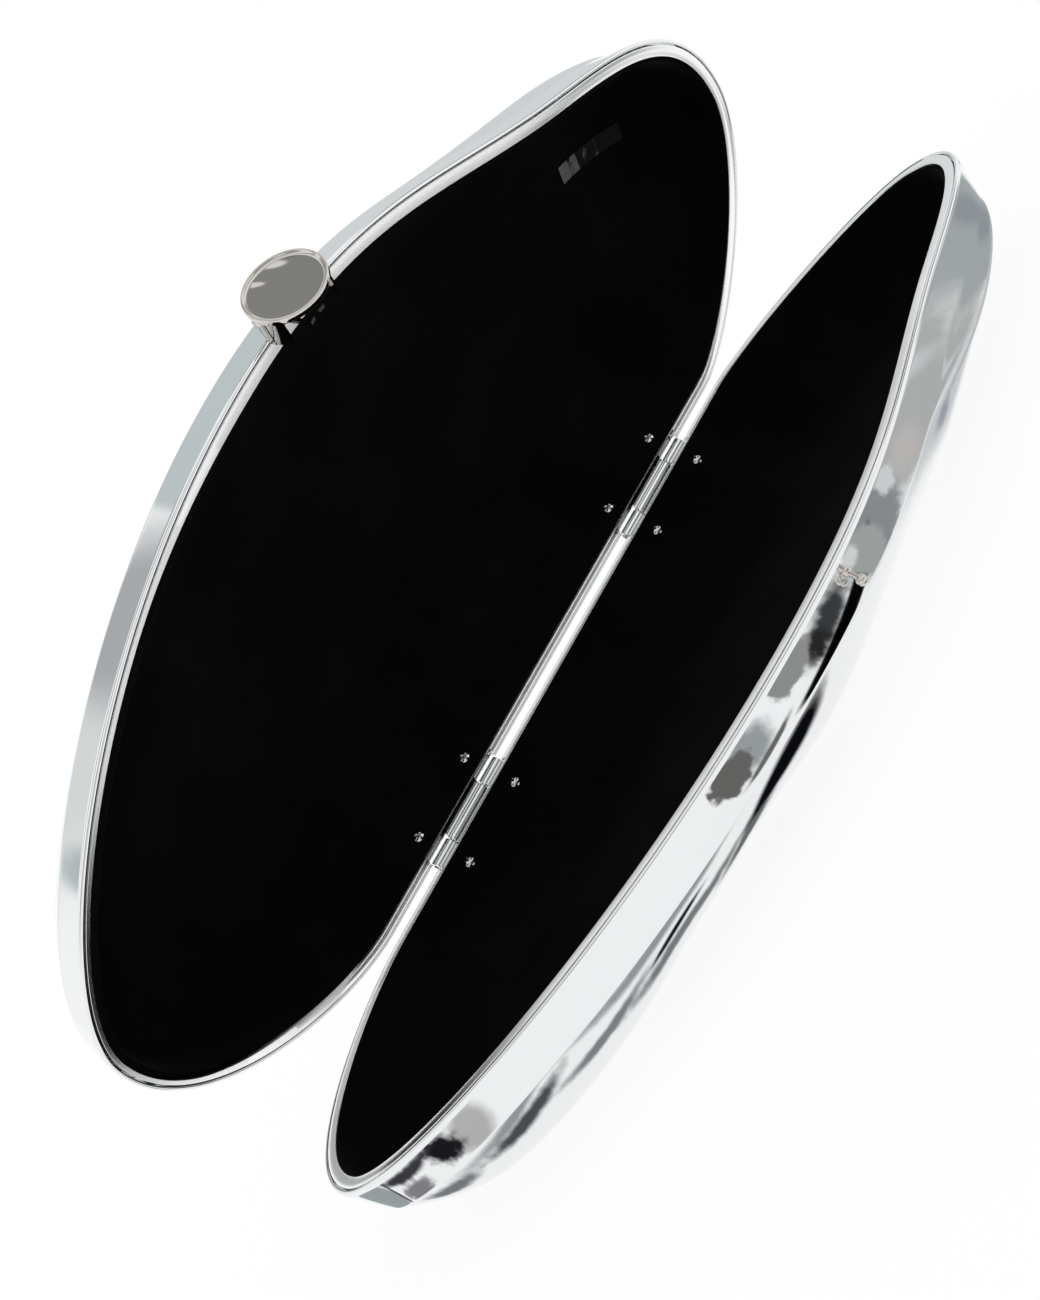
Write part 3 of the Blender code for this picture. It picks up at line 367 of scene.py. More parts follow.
def half_matrix(side: Side) -> Matrix:
    """Return the map from (u, v, n) in millimetres to the row frame in metres.

    Args:
        side: The half that the point belongs to.

    Returns:
        A 4x4 matrix that flips, lifts, opens and scales.
    """
    turn = Matrix.Rotation(math.radians(-LID_OPEN_DEG), 4, "X") if side is Side.LID else Matrix()
    lift = Matrix.Translation((0, 0, side.value * MOUTH_GAP / 2))
    flip = Matrix.Diagonal((1, -1, side.value, 1))
    return Matrix.Scale(MM, 4) @ Matrix.Translation(HINGE_POINT) @ turn @ lift @ flip


def placed(points: np.ndarray, matrix: Matrix) -> np.ndarray:
    """Return points carried through a 4x4 matrix."""
    m = np.array(matrix)
    return points.reshape(-1, 3) @ m[:3, :3].T + m[:3, 3]


def smoothstep(x: np.ndarray | float) -> np.ndarray | float:
    """Return the cubic that rises from 0 at 0 to 1 at 1, held outside."""
    t = np.clip(x, 0.0, 1.0)
    return t * t * (3 - 2 * t)


def bump(x: np.ndarray) -> np.ndarray:
    """Return a smooth hump that is 1 at x = 0 and falls to 0 at x = -1 and x = 1."""
    return np.cos(np.clip(x, -1, 1) * math.pi / 2) ** 2


class Surface:
    """A mesh under construction, gathered from grids, capped rings and turned forms."""

    def __init__(self) -> None:
        """Start with no points and no faces."""
        self.points: list[np.ndarray] = []
        self.faces: list[tuple[int, ...]] = []
        self.count = 0

    def add_points(self, points: np.ndarray) -> int:
        """Add points.

        Args:
            points: The points, in any shape that ends in three.

        Returns:
            The index of the first.
        """
        first = self.count
        block = np.asarray(points, float).reshape(-1, 3)
        self.points.append(block)
        self.count += len(block)
        return first

    def add_grid(self, grid: np.ndarray, wrap_rows: bool = False, wrap_cols: bool = True) -> int:
        """Add a grid of quads.

        Args:
            grid: Points as rows by columns by three.
            wrap_rows: Whether the last row joins the first.
            wrap_cols: Whether the last column joins the first.

        Returns:
            The index of the grid's first point.
        """
        rows, cols = grid.shape[:2]
        first = self.add_points(grid)
        for row in range(rows if wrap_rows else rows - 1):
            below = (row + 1) % rows
            for col in range(cols if wrap_cols else cols - 1):
                after = (col + 1) % cols
                a = first + row * cols
                b = first + below * cols
                self.faces.append((a + col, a + after, b + after, b + col))
        return first

    def add_cap(self, first: int, count: int, flipped: bool = False) -> None:
        """Close a ring of points with one flat face."""
        ring_face = tuple(range(first, first + count))
        self.faces.append(ring_face[::-1] if flipped else ring_face)

    def add_capped(self, grid: np.ndarray) -> None:
        """Add a grid of closed rings with a flat face over its first and its last ring.

        Args:
            grid: Points as rings by places by three.
        """
        rings, count = grid.shape[:2]
        first = self.add_grid(grid)
        self.add_cap(first, count, flipped=True)
        self.add_cap(first + (rings - 1) * count, count)

    def add_turned(self, profile: list[tuple[float, float]], sides: int, matrix: Matrix) -> None:
        """Add a form turned about Z, closed at both ends.

        Args:
            profile: The form's (radius, height) pairs.
            sides: How many sides the rings have.
            matrix: Carries the form to its place.
        """
        angles = np.linspace(0, 2 * math.pi, sides, endpoint=False)
        rings = [turned_ring(r, angles, z) for r, z in profile]
        self.add_capped(placed(np.array(rings), matrix).reshape(len(profile), sides, 3))


def turned_ring(radius: float, angles: np.ndarray, height: float | np.ndarray) -> np.ndarray:
    """Return a ring of points about Z, at one height or at a height for each angle."""
    height = np.broadcast_to(height, len(angles))
    return np.column_stack((radius * np.cos(angles), radius * np.sin(angles), height))


@dataclass
class Piece:
    """One finished piece of the look: where it rides, what it stands for and its finish."""

    name: str
    body: str
    slot: str
    material: bpy.types.Material
    surface: Surface
    replaces: tuple[str, ...] = ()
    sharp_deg: float = 32.0

    def build(self, matrix: Matrix) -> None:
        """Make the object in the row frame, shade it, and hand it to the frame.

        Args:
            matrix: Carries the surface's points to the row frame in metres.
        """
        points = placed(np.concatenate(self.surface.points), matrix)
        mesh = bpy.data.meshes.new(self.name)
        mesh.from_pydata(points.tolist(), [], self.surface.faces)
        mesh.validate()
        mesh.materials.append(self.material)
        obj = bpy.data.objects.new(self.name, mesh)
        bpy.context.scene.collection.objects.link(obj)
        self._face_outwards(mesh)
        mesh.shade_smooth()
        mesh.set_sharp_from_angle(angle=math.radians(self.sharp_deg))
        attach(obj, self.body)
        if self.replaces:
            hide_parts(*self.replaces)
        LOG.info("%s: %d faces on %s", self.name, len(mesh.polygons), self.body)

    @staticmethod
    def _face_outwards(mesh: bpy.types.Mesh) -> None:
        """Turn the faces so that their normals point out of the closed form.

        Args:
            mesh: The mesh to mend.
        """
        work = bmesh.new()
        work.from_mesh(mesh)
        bmesh.ops.recalc_face_normals(work, faces=work.faces)
        work.to_mesh(mesh)
        work.free()


def linear(hex_colour: str) -> tuple[float, ...]:
    """Return the linear colour, with full alpha, of an sRGB hex string such as #c5cacb."""
    values = [int(hex_colour[i : i + 2], 16) / 255 for i in (1, 3, 5)]
    return (*(c / 12.92 if c <= 0.04045 else ((c + 0.055) / 1.055) ** 2.4 for c in values), 1.0)


class NodeBench:
    """A short way to add and join shader nodes in one material or world."""

    def __init__(self, tree: bpy.types.NodeTree) -> None:
        """Clear the tree and keep it."""
        self.tree = tree
        tree.nodes.clear()

    def add(self, kind: str, values: dict | None = None, **settings: str) -> bpy.types.Node:
        """Add a node.

        Args:
            kind: The node's Blender type name.
            values: Input names or indices mapped to a value or to an output socket to link.
            **settings: Properties of the node itself.

        Returns:
            The new node.
        """
        node = self.tree.nodes.new(kind)
        for key, value in settings.items():
            setattr(node, key, value)
        for key, value in (values or {}).items():
            socket = node.inputs[key]
            if isinstance(value, Socket):
                self.tree.links.new(value, socket)
            else:
                socket.default_value = value
        return node

    def noise(self, place: Socket, size: float, detail: float) -> Socket:
        """Return noise from 0 to 1 whose blobs have a size in the unit of the place."""
        values = {"Vector": place, "Scale": 1 / size, "Detail": detail}
        return self.add("ShaderNodeTexNoise", values).outputs["Fac"]

    def relief(self, height: Socket, strength: float, distance_mm: float) -> Socket:
        """Return the normal of a surface that a height raises by a distance in millimetres."""
        values = {"Height": height, "Strength": strength, "Distance": distance_mm * MM}
        return self.add("ShaderNodeBump", values).outputs["Normal"]

    def calc(self, operation: str, *terms: Socket | float) -> Socket:
        """Return the result of one operation on up to three terms."""
        return self.add("ShaderNodeMath", dict(enumerate(terms)), operation=operation).outputs["Value"]

    def away(self, place: Socket, middle: Triple, half: Triple, turn: Triple = (0, 0, 0)) -> Socket:
        """Return the distance from a middle, in half sizes along its own axes.

        Args:
            place: The coordinates.
            middle: The point that distance is measured from.
            half: The length of one unit of distance along each axis.
            turn: The turn of the axes, in radians.

        Returns:
            The socket with the distance.
        """
        values = {"Vector": place, "Location": middle, "Rotation": turn, "Scale": half}
        local = self.add("ShaderNodeMapping", values, vector_type="TEXTURE").outputs["Vector"]
        return self.add("ShaderNodeVectorMath", {0: local}, operation="LENGTH").outputs["Value"]

    def spread(
        self, value: Socket, limits: tuple[float, float], to: tuple[float, float], kind: str
    ) -> Socket:
        """Return a value that goes from one number to another between two limits.

        Args:
            value: The socket that drives it.
            limits: The values where the change starts and ends.
            to: The numbers at those limits, held outside.
            kind: LINEAR or SMOOTHSTEP.

        Returns:
            The socket with the result.
        """
        names = ("From Min", "From Max", "To Min", "To Max")
        values = {"Value": value, **dict(zip(names, (*limits, *to)))}
        return self.add("ShaderNodeMapRange", values, interpolation_type=kind).outputs["Result"]

    def blend(self, share: Socket, under: Socket | tuple, over: Socket | tuple) -> Socket:
        """Return the colour that goes from one to another as the share rises."""
        values = {0: share, 6: under, 7: over}
        return self.add("ShaderNodeMix", values, data_type="RGBA").outputs[2]

    def principled(self, values: dict) -> None:
        """Finish a material with one principled surface."""
        shader = self.add("ShaderNodeBsdfPrincipled", values).outputs["BSDF"]
        self.add("ShaderNodeOutputMaterial", {"Surface": shader})


def new_material(name: str) -> tuple[bpy.types.Material, NodeBench, Socket]:
    """Start a material.

    Args:
        name: The material's name.

    Returns:
        The material, its node bench and its object coordinates.
    """
    material = bpy.data.materials.new(name)
    material.use_nodes = True
    bench = NodeBench(material.node_tree)
    return material, bench, bench.add("ShaderNodeTexCoord").outputs["Object"]


@dataclass(frozen=True)
class MirrorZone:
    """A place where a soft metal turns to a mirror, by its distance in half sizes from a middle."""

    middle: Triple
    half: Triple
    limits: tuple[float, float]


# Past both ends of the length, and close round the hinge line. A half size of FAR leaves its
# axis out.
FAR = 1e6
MIRROR_METALLIC = 0.97
MIRROR_ZONES = (
    MirrorZone((-12.0, 0.0, 0.0), (88.0, FAR, FAR), (0.68, 1.0)),
    MirrorZone(tuple(HINGE_POINT), (FAR, 5.6, 5.6), (1.0, 0.8)),
)
HAZE_SIZE_MM = 2.5
HAZE_LIMITS = (0.3, 0.75)


@dataclass(frozen=True)
class ChromeFinish:
    """A polished plated metal: its tint, gloss and how far its surface wavers."""

    name: str
    tint: str
    roughness: float
    wave_size_mm: float
    wave_height_mm: float
    metallic: float = 1.0
    haze: float = 0.3
    bright_ends: bool = False

    def make(self) -> bpy.types.Material:
        """Build the metal, whose polish wavers slightly, as hand buffing leaves it.

        Returns:
            The new material.
        """
        material, bench, place = new_material(self.name)
        waves = bench.noise(place, self.wave_size_mm * MM, 1.5)
        haze = bench.noise(place, HAZE_SIZE_MM * MM, 4.0)
        rough = (self.roughness * (1 - self.haze), self.roughness * (1 + self.haze))
        bench.principled(
            {
                "Base Color": linear(self.tint),
                "Metallic": self._metallic(bench, place),
                "Roughness": bench.spread(haze, HAZE_LIMITS, rough, "LINEAR"),
                "Normal": bench.relief(waves, 1.0, self.wave_height_mm),
            }
        )
        return material

    def _metallic(self, bench: NodeBench, place: Socket) -> Socket | float:
        """Return the metallic value, or a socket that rises to a mirror in the mirror zones.

        Args:
            bench: The node bench.
            place: The object coordinates.

        Returns:
            The value or the socket.
        """
        if not self.bright_ends:
            return self.metallic
        values = []
        for zone in MIRROR_ZONES:
            middle = tuple(value * MM for value in zone.middle)
            half = tuple(value * MM for value in zone.half)
            away = bench.away(place, middle, half)
            rise = (self.metallic, MIRROR_METALLIC)
            values.append(bench.spread(away, zone.limits, rise, "SMOOTHSTEP"))
        return bench.calc("MAXIMUM", *values)


@dataclass(frozen=True)
class VelvetFinish:
    """A short-pile velvet: its ground and tip colours, and the sizes of its pile and brushing."""

    name: str
    ground: str
    tip: str
    pile_mm: float
    brushed_mm: float

    def make(self) -> bpy.types.Material:
        """Build the velvet: a dark ground with fine pile relief and a weak sheen.

        Returns:
            The new material.
        """
        material, bench, place = new_material(self.name)
        pile = bench.noise(place, self.pile_mm * MM, 3.0)
        brushed = bench.noise(place, self.brushed_mm * MM, 2.0)
        tone = bench.add("ShaderNodeValToRGB", {"Fac": bench.calc("MULTIPLY", pile, brushed)})
        stops = ((0.22, self.ground), (0.5, self.tip))
        for element, (position, colour) in zip(tone.color_ramp.elements, stops):
            element.position = position
            element.color = linear(colour)
        bench.principled(
            {
                "Base Color": tone.outputs["Color"],
                "Roughness": 1.0,
                "Specular IOR Level": 0.05,
                "Sheen Weight": 0.02,
                "Sheen Roughness": 0.4,
                "Normal": bench.relief(pile, 0.6, 0.15),
            }
        )
        return material


@dataclass(frozen=True)
class FilmFinish:
    """A thin clear film: its tone over the dark pile, its gloss and the size of its creases."""

    name: str
    tone: str
    roughness: float
    crease_mm: float

    def make(self) -> bpy.types.Material:
        """Build the film: glossy and creased, and about the tone of the pile below.

        Returns:
            The new material.
        """
        material, bench, place = new_material(self.name)
        creases = bench.noise(place, self.crease_mm * MM, 2.0)
        bench.principled(
            {
                "Base Color": linear(self.tone),
                "Roughness": self.roughness,
                "IOR": 1.5,
                "Normal": bench.relief(creases, 0.7, 0.3),
            }
        )
        return material


class Finishes:
    """All the materials of the case, made once."""

    def __init__(self) -> None:
        """Make each finish."""
        self.shell = ChromeFinish("shell_chrome", "#eef0f1", 0.045, 9.0, 0.012).make()
        self.rim = ChromeFinish("rim_white_bronze", "#fdfdfd", 0.2, 14.0, 0.004, 0.1, 0.05, True).make()
        self.hardware = ChromeFinish("hardware_nickel", "#eceded", 0.06, 3.0, 0.002).make()
        self.clasp = ChromeFinish("clasp_nickel", "#d3cdc8", 0.022, 6.0, 0.004).make()
        # The cheeks, stem and pad behind the cap: a darker, less polished copy of the cap's nickel,
        # whose darker tint is painted shade from the cap.
        self.collar = ChromeFinish("collar_nickel", "#bdb8b4", 0.07, 4.0, 0.01).make()
        # The jaws under the cap: a dark, rough copy of the nickel, painted shade for where they sit
        # under the cap.
        self.jaw_painted_shade = ChromeFinish("jaw_spring_steel", "#5d5b59", 0.25, 3.0, 0.004).make()
        self.velvet = VelvetFinish("black_velvet", "#060605", "#11110f", 0.35, 22.0).make()
        self.film = FilmFinish("clear_film", "#1a1b1d", 0.12, 3.0).make()

    def for_node(self, node: str) -> bpy.types.Material:
        """Return the finish of a CAD node that shows as it is.

        Args:
            node: The node's name.

        Returns:
            Its finish.
        """
        if node == "film_tab":
            return self.film
        # The jaws get the darker copy, which paints the cap's shade on them.
        return self.jaw_painted_shade if node.startswith("clasp_jaw") else self.hardware


def ring(w: float | np.ndarray, n: float | np.ndarray) -> np.ndarray:
    """Return the outline's stations at an offset and a depth.

    Args:
        w: The offset outside the mouth's edge, one for all stations or one for each.
        n: The depth, one for all stations or one for each.

    Returns:
        The ring's (u, v, n) points.
    """
    w = np.broadcast_to(w, len(OUTLINE.points))
    points = OUTLINE.points + OUTLINE.normals * w[:, None]
    return np.column_stack((points, np.broadcast_to(n, len(points))))


def slope_reach(u: np.ndarray) -> np.ndarray:
    """Return how far in the front's face slopes.

    The reach follows a Hermite cubic through the named places along u.

    Args:
        u: Places along the hinge axis.

    Returns:
        The reach at each place.
    """
    places = np.array(SLOPE_PLACES)
    reaches = np.array(SLOPE_REACHES)
    grades = np.gradient(reaches, places)
    index = np.clip(np.searchsorted(places, u) - 1, 0, len(places) - 2)
    width = places[index + 1] - places[index]
    t = (u - places[index]) / width
    start = (2 * t**3 - 3 * t**2 + 1) * reaches[index] + (t**3 - 2 * t**2 + t) * width * grades[index]
    end = (3 * t**2 - 2 * t**3) * reaches[index + 1] + (t**3 - t**2) * width * grades[index + 1]
    return start + end


def face_ring(step: float, lift: float = 0.0) -> np.ndarray:
    """Return a ring on the face.

    The ring lies at a share of the way along the slope, from the crease at 0 to the level crown
    at 1. The face first drops by a rounded step, a quarter ellipse, and then eases out along a
    power curve. The lift sets an inner ring square off the slope, towards the mouth.

    Args:
        step: How far along the slope, from 0 to 1.
        lift: How far an inner ring stands above the outer skin.

    Returns:
        The ring's (u, v, n) points.
    """
    crease = OUTLINE.points + OUTLINE.normals * CREASE_W
    foot_u = np.clip(crease[:, 0], SPINE_LEFT_U, SPINE_RIGHT_U)
    inward = np.column_stack((foot_u, np.full(len(crease), SPINE_V))) - crease
    inward = inward / np.linalg.norm(inward, axis=1)[:, None]
    frontness = smoothstep((crease[:, 1] - HINGE_SIDE_V) / (FRONT_SIDE_V - HINGE_SIDE_V))
    reach = HINGE_SLOPE_REACH + (slope_reach(crease[:, 0]) - HINGE_SLOPE_REACH) * frontness
    drop = STEP_DEPTH * bump((crease[:, 0] - STEP_U) / STEP_HALF_LENGTH) * frontness
    inset = step * reach
    turned = np.sqrt(1 - (1 - np.minimum(inset / STEP_ROUNDING, 1)) ** 2)
    depth = drop * turned + (FACE_DEPTH - drop) * (1 - (1 - step) ** FACE_ROUNDNESS)
    grade = (FACE_DEPTH - drop) * FACE_ROUNDNESS / reach * (1 - step) ** (FACE_ROUNDNESS - 1)
    angle = np.arctan(grade)
    points = crease + inward * (inset + lift * np.sin(angle))[:, None]
    return np.column_stack((points, BAND_DEPTH + depth - lift * np.cos(angle)))


class Half:
    """One half of the case: its shell, rim, lining, hinge leaves and screws."""

    def __init__(self, side: Side, finishes: Finishes) -> None:
        """Keep which half it is and work out where its rim narrows.

        Args:
            side: The half to build.
            finishes: The materials of the case.
        """
        self.side = side
        self.name = side.name.lower()
        self.matrix = half_matrix(side)
        self.finishes = finishes
        u, v = OUTLINE.points[:, 0], OUTLINE.points[:, 1]
        left = smoothstep((NARROWING_U - u) / NARROWING_LENGTH_U)
        left = left * smoothstep((v - NARROWING_V) / NARROWING_LENGTH_V)
        self.narrowing = left if side is Side.LID else np.zeros(len(u))

    def build(self) -> None:
        """Build every piece of this half."""
        self.build_shell()
        self.build_rim()
        self.build_lining()
        for place, centre in (("far", HINGE_HALF_SPACING), ("near", -HINGE_HALF_SPACING)):
            self.build_leaf(place, centre)
            self.build_screws(place, centre)

    def _squeezed(self, w: float | np.ndarray) -> np.ndarray:
        """Return w drawn towards the rim's outer edge where this half's rim is narrow."""
        return RIM_WIDTH - (RIM_WIDTH - w) * (1 - RIM_NARROWING * self.narrowing)

    def _notch_floor(self, n: float) -> np.ndarray:
        """Return depth n at each station, lowered to the notch's floor at the hinges."""
        return np.where(OUTLINE.notched, max(n, NOTCH_DEPTH), n)

    def build_shell(self) -> None:
        """Build the shell: rounded lip, leaning band, filleted crease and swollen face."""
        inner = RIM_WIDTH + SEAT_GAP
        rings = [ring(inner + w, self._notch_floor(n)) for w, n in SHELL_LIP_SECTION]
        for n in np.linspace(BAND_START, BAND_DEPTH - CREASE_ROUNDING, 9):
            rings.append(ring(band_w(n), self._notch_floor(float(n))))
        rings += self._crease_fillet()
        for step in np.linspace(0.08, 1.0, 56) ** 2.0:
            rings.append(face_ring(float(step)))
        surface = Surface()
        count = len(OUTLINE.points)
        first = surface.add_grid(np.array(rings))
        surface.add_cap(first + (len(rings) - 1) * count, count)
        inside = [face_ring(step, lift=FACE_WALL) for step in SHELL_INSIDE_STEPS]
        inside.append(ring(CREASE_W - BAND_WALL, BAND_DEPTH - FACE_WALL / 2))
        inside.append(ring(band_w(WALL_TOP) - BAND_WALL, WALL_TOP))
        inside.append(ring(inner, WALL_TOP))
        inside.append(ring(inner, self._notch_floor(SHELL_LIP_SECTION[0][1])))
        low = surface.add_grid(np.array(inside))
        surface.add_cap(low, count, flipped=True)
        name = f"{self.name}_shell_skin"
        nodes = (f"{self.name}_shell",)
        Piece(name, self.name, CHROME, self.finishes.shell, surface, nodes).build(self.matrix)

    @staticmethod
    def _crease_fillet() -> list[np.ndarray]:
        """Round the crease between the band and the face.

        Returns:
            Rings along a quadratic curve from the band to the face.
        """
        above = ring(band_w(BAND_DEPTH - CREASE_ROUNDING), BAND_DEPTH - CREASE_ROUNDING)
        corner = ring(CREASE_W, BAND_DEPTH)
        below = face_ring(0.004)
        rings = []
        for t in (0.25, 0.5, 0.75):
            rings.append((1 - t) ** 2 * above + 2 * t * (1 - t) * corner + t**2 * below)
        return rings

    def build_rim(self) -> None:
        """Build the rim: a flat plate with softened edges, cut back to its lip at the hinges."""
        flange = band_w(FLANGE_DEPTH) - BAND_WALL - SEAT_GAP
        section = [*RIM_TOP_SECTION, (flange, FLANGE_DEPTH)]
        section += [(flange - FLANGE_THICKNESS, FLANGE_DEPTH), *RIM_BACK_SECTION]
        rings = []
        for w, n in section:
            lip = RIM_LIP - RIM_SOFT_EDGE if n < RIM_SOFT_EDGE else RIM_LIP
            outside = self._squeezed(w) if n < FLANGE_DEPTH else w
            w_all = np.where(OUTLINE.notched, min(w, lip), outside)
            rings.append(ring(w_all, np.where(OUTLINE.notched, min(n, RIM_PLATE), n)))
        surface = Surface()
        surface.add_grid(np.array(rings), wrap_rows=True)
        name = f"{self.name}_rim_frame"
        nodes = (f"{self.name}_rim",)
        Piece(name, self.name, CHROME, self.finishes.rim, surface, nodes).build(self.matrix)

    def build_lining(self) -> None:
        """Build the velvet: a strip round the wall that turns into the dished floor.

        Along the hinge the strip reaches up to the rim's top edge. Round the front it starts
        below the rim and stands further in.
        """
        front = smoothstep((OUTLINE.points[:, 1] - LINING_DROP_V) / LINING_DROP_LENGTH)
        back = FACE_WALL + SEAT_GAP
        rings = [face_ring(step, lift=back) for step in LINING_BACK_STEPS]
        rings += [ring(band_w(n) - LINING_BACK, n) for n in LINING_BACK_DEPTHS]
        for hinge_point, front_point in zip(LINING_AT_HINGE, LINING_AT_FRONT):
            w = hinge_point[0] + (front_point[0] - hinge_point[0]) * front
            w = self._squeezed(w) if hinge_point[0] > 0 else w
            n = hinge_point[1] + (front_point[1] - hinge_point[1]) * front
            rings.append(ring(w, n))
        rings += [face_ring(step, lift=back + LINING_FLOOR) for step in LINING_FACE_STEPS]
        surface = Surface()
        surface.add_capped(np.array(rings))
        name = f"{self.name}_lining"
        nodes = (f"{self.name}_lining_wall", f"{self.name}_lining_floor")
        velvet = self.finishes.velvet
        Piece(name, self.name, "velvet_lining", velvet, surface, nodes, 60.0).build(self.matrix)

    def _spans(self, centre: float) -> list[tuple[float, float]]:
        """Return where this half's knuckles lie: the base's outside, the lid's in the middle.

        Args:
            centre: The hinge's middle along u.

        Returns:
            The knuckles' ends along u.
        """
        middle = MIDDLE_KNUCKLE_HALF_LENGTH
        if self.side is Side.LID:
            return [(centre - middle + KNUCKLE_GAP, centre + middle - KNUCKLE_GAP)]
        low, high = centre - HINGE_HALF_LENGTH, centre + HINGE_HALF_LENGTH
        return [(low, centre - middle - KNUCKLE_GAP), (centre + middle + KNUCKLE_GAP, high)]

    @staticmethod
    def _add_bar(surface: Surface, section: list[tuple[float, float]], low: float, high: float) -> None:
        """Add a bar along u with a (v, n) section."""
        surface.add_capped(np.array([[(u, v, n) for v, n in section] for u in (low, high)]))

    def build_leaf(self, place: str, centre: float) -> None:
        """Build a hinge leaf: round knuckles, straps to the wall and the plate behind the lining.

        Args:
            place: The hinge's name, far or near.
            centre: The hinge's middle along u.
        """
        surface = Surface()
        turn = Matrix(((0, 0, 1, 0), (1, 0, 0, 0), (0, 1, 0, -MOUTH_GAP / 2), (0, 0, 0, 1)))
        end_v = HINGE_LINE_V - RIM_LIP - STRAP_GAP
        foot = STRAP_TOP + LEAF_THICKNESS
        strap = [(STRAP_START_V, STRAP_TOP), (end_v, STRAP_TOP), (end_v, foot), (STRAP_START_V, foot)]
        for low, high in self._spans(centre):
            profile = [(BARREL_RADIUS - KNUCKLE_CHAMFER, low), (BARREL_RADIUS, low + KNUCKLE_CHAMFER)]
            profile += [(r, low + high - u) for r, u in reversed(profile)]
            surface.add_turned(profile, 40, turn)
            self._add_bar(surface, strap, low + STRAP_INSET, high - STRAP_INSET)
        top_v = HINGE_LINE_V - (band_w(LEAF_BEND) - BAND_WALL - SEAT_GAP)
        foot_v = HINGE_LINE_V - (band_w(LEAF_DEPTH) - BAND_WALL - SEAT_GAP)
        plate = [(top_v, LEAF_TOP), (top_v + LEAF_THICKNESS, LEAF_TOP)]
        plate += [(foot_v + LEAF_THICKNESS, LEAF_DEPTH), (foot_v, LEAF_DEPTH)]
        self._add_bar(surface, plate, centre - HINGE_HALF_LENGTH, centre + HINGE_HALF_LENGTH)
        name = f"{self.name}_leaf_{place}"
        nodes = (f"{self.name}_hinge_leaf_{place}",)
        Piece(name, self.name, CHROME, self.finishes.hardware, surface, nodes).build(self.matrix)

    def build_screws(self, place: str, centre: float) -> None:
        """Build the two cross-head screws that hold a leaf, square to the leaning wall.

        Args:
            place: The hinge's name, far or near.
            centre: The hinge's middle along u.
        """
        tilt = math.atan(BAND_LEAN / (BAND_DEPTH - SHOULDER_DROP))
        stack = (SEAT_GAP + FLANGE_THICKNESS + SEAT_GAP + LEAF_THICKNESS) * math.cos(tilt) + SCREW_SEAT
        foot_v = HINGE_LINE_V - band_w(SCREW_DEPTH) + BAND_WALL
        axis = Vector((0, math.cos(tilt), -math.sin(tilt)))
        turn = axis.to_track_quat("Z", "X").to_matrix().to_4x4() @ Matrix.Translation((0, 0, stack))
        steel = self.finishes.hardware
        for letter, step in (("a", -SCREW_HALF_SPACING), ("b", SCREW_HALF_SPACING)):
            surface = self._screw(Matrix.Translation((centre + step, foot_v, SCREW_DEPTH)) @ turn)
            name = f"{self.name}_screw_{place}_{letter}"
            nodes = (f"{self.name}_hinge_screw_{place}_{letter}",)
            Piece(name, self.name, "polished_steel", steel, surface, nodes).build(self.matrix)

    @staticmethod
    def _screw(matrix: Matrix) -> Surface:
        """Return a domed head with a sunk cross, on a short shank.

        The head's height is a dome over its radius, and the cross is where either of the two
        flat coordinates is small, sunk with soft walls that fade towards the rim.

        Args:
            matrix: Carries the screw from its seat at the origin to its place.

        Returns:
            The screw's surface.
        """
        angles = np.linspace(0, 2 * math.pi, 48, endpoint=False) + math.radians(SCREW_TURN_DEG)
        rings = []
        for share in np.linspace(0.06, 1.0, 14):
            r = SCREW_HEAD_RADIUS * share
            dome = SCREW_HEAD_HEIGHT * (1 - SCREW_DOME_FALL * share**SCREW_DOME_POWER)
            arm = np.minimum(np.abs(r * np.cos(angles)), np.abs(r * np.sin(angles)))
            cross = 1 - smoothstep((arm - CROSS_ARM) / CROSS_WALL)
            cross = cross * (1 - smoothstep((r - CROSS_REACH) / CROSS_END))
            rings.append(turned_ring(r, angles, dome - CROSS_DEPTH * cross))
        for r, z in ((SCREW_HEAD_RADIUS, 0.0), (SHANK_RADIUS, 0.0), (SHANK_RADIUS, -SHANK_LENGTH)):
            rings.append(turned_ring(r, angles, z))
        surface = Surface()
        surface.add_capped(placed(np.array(rings), matrix).reshape(len(rings), len(angles), 3))
        return surface


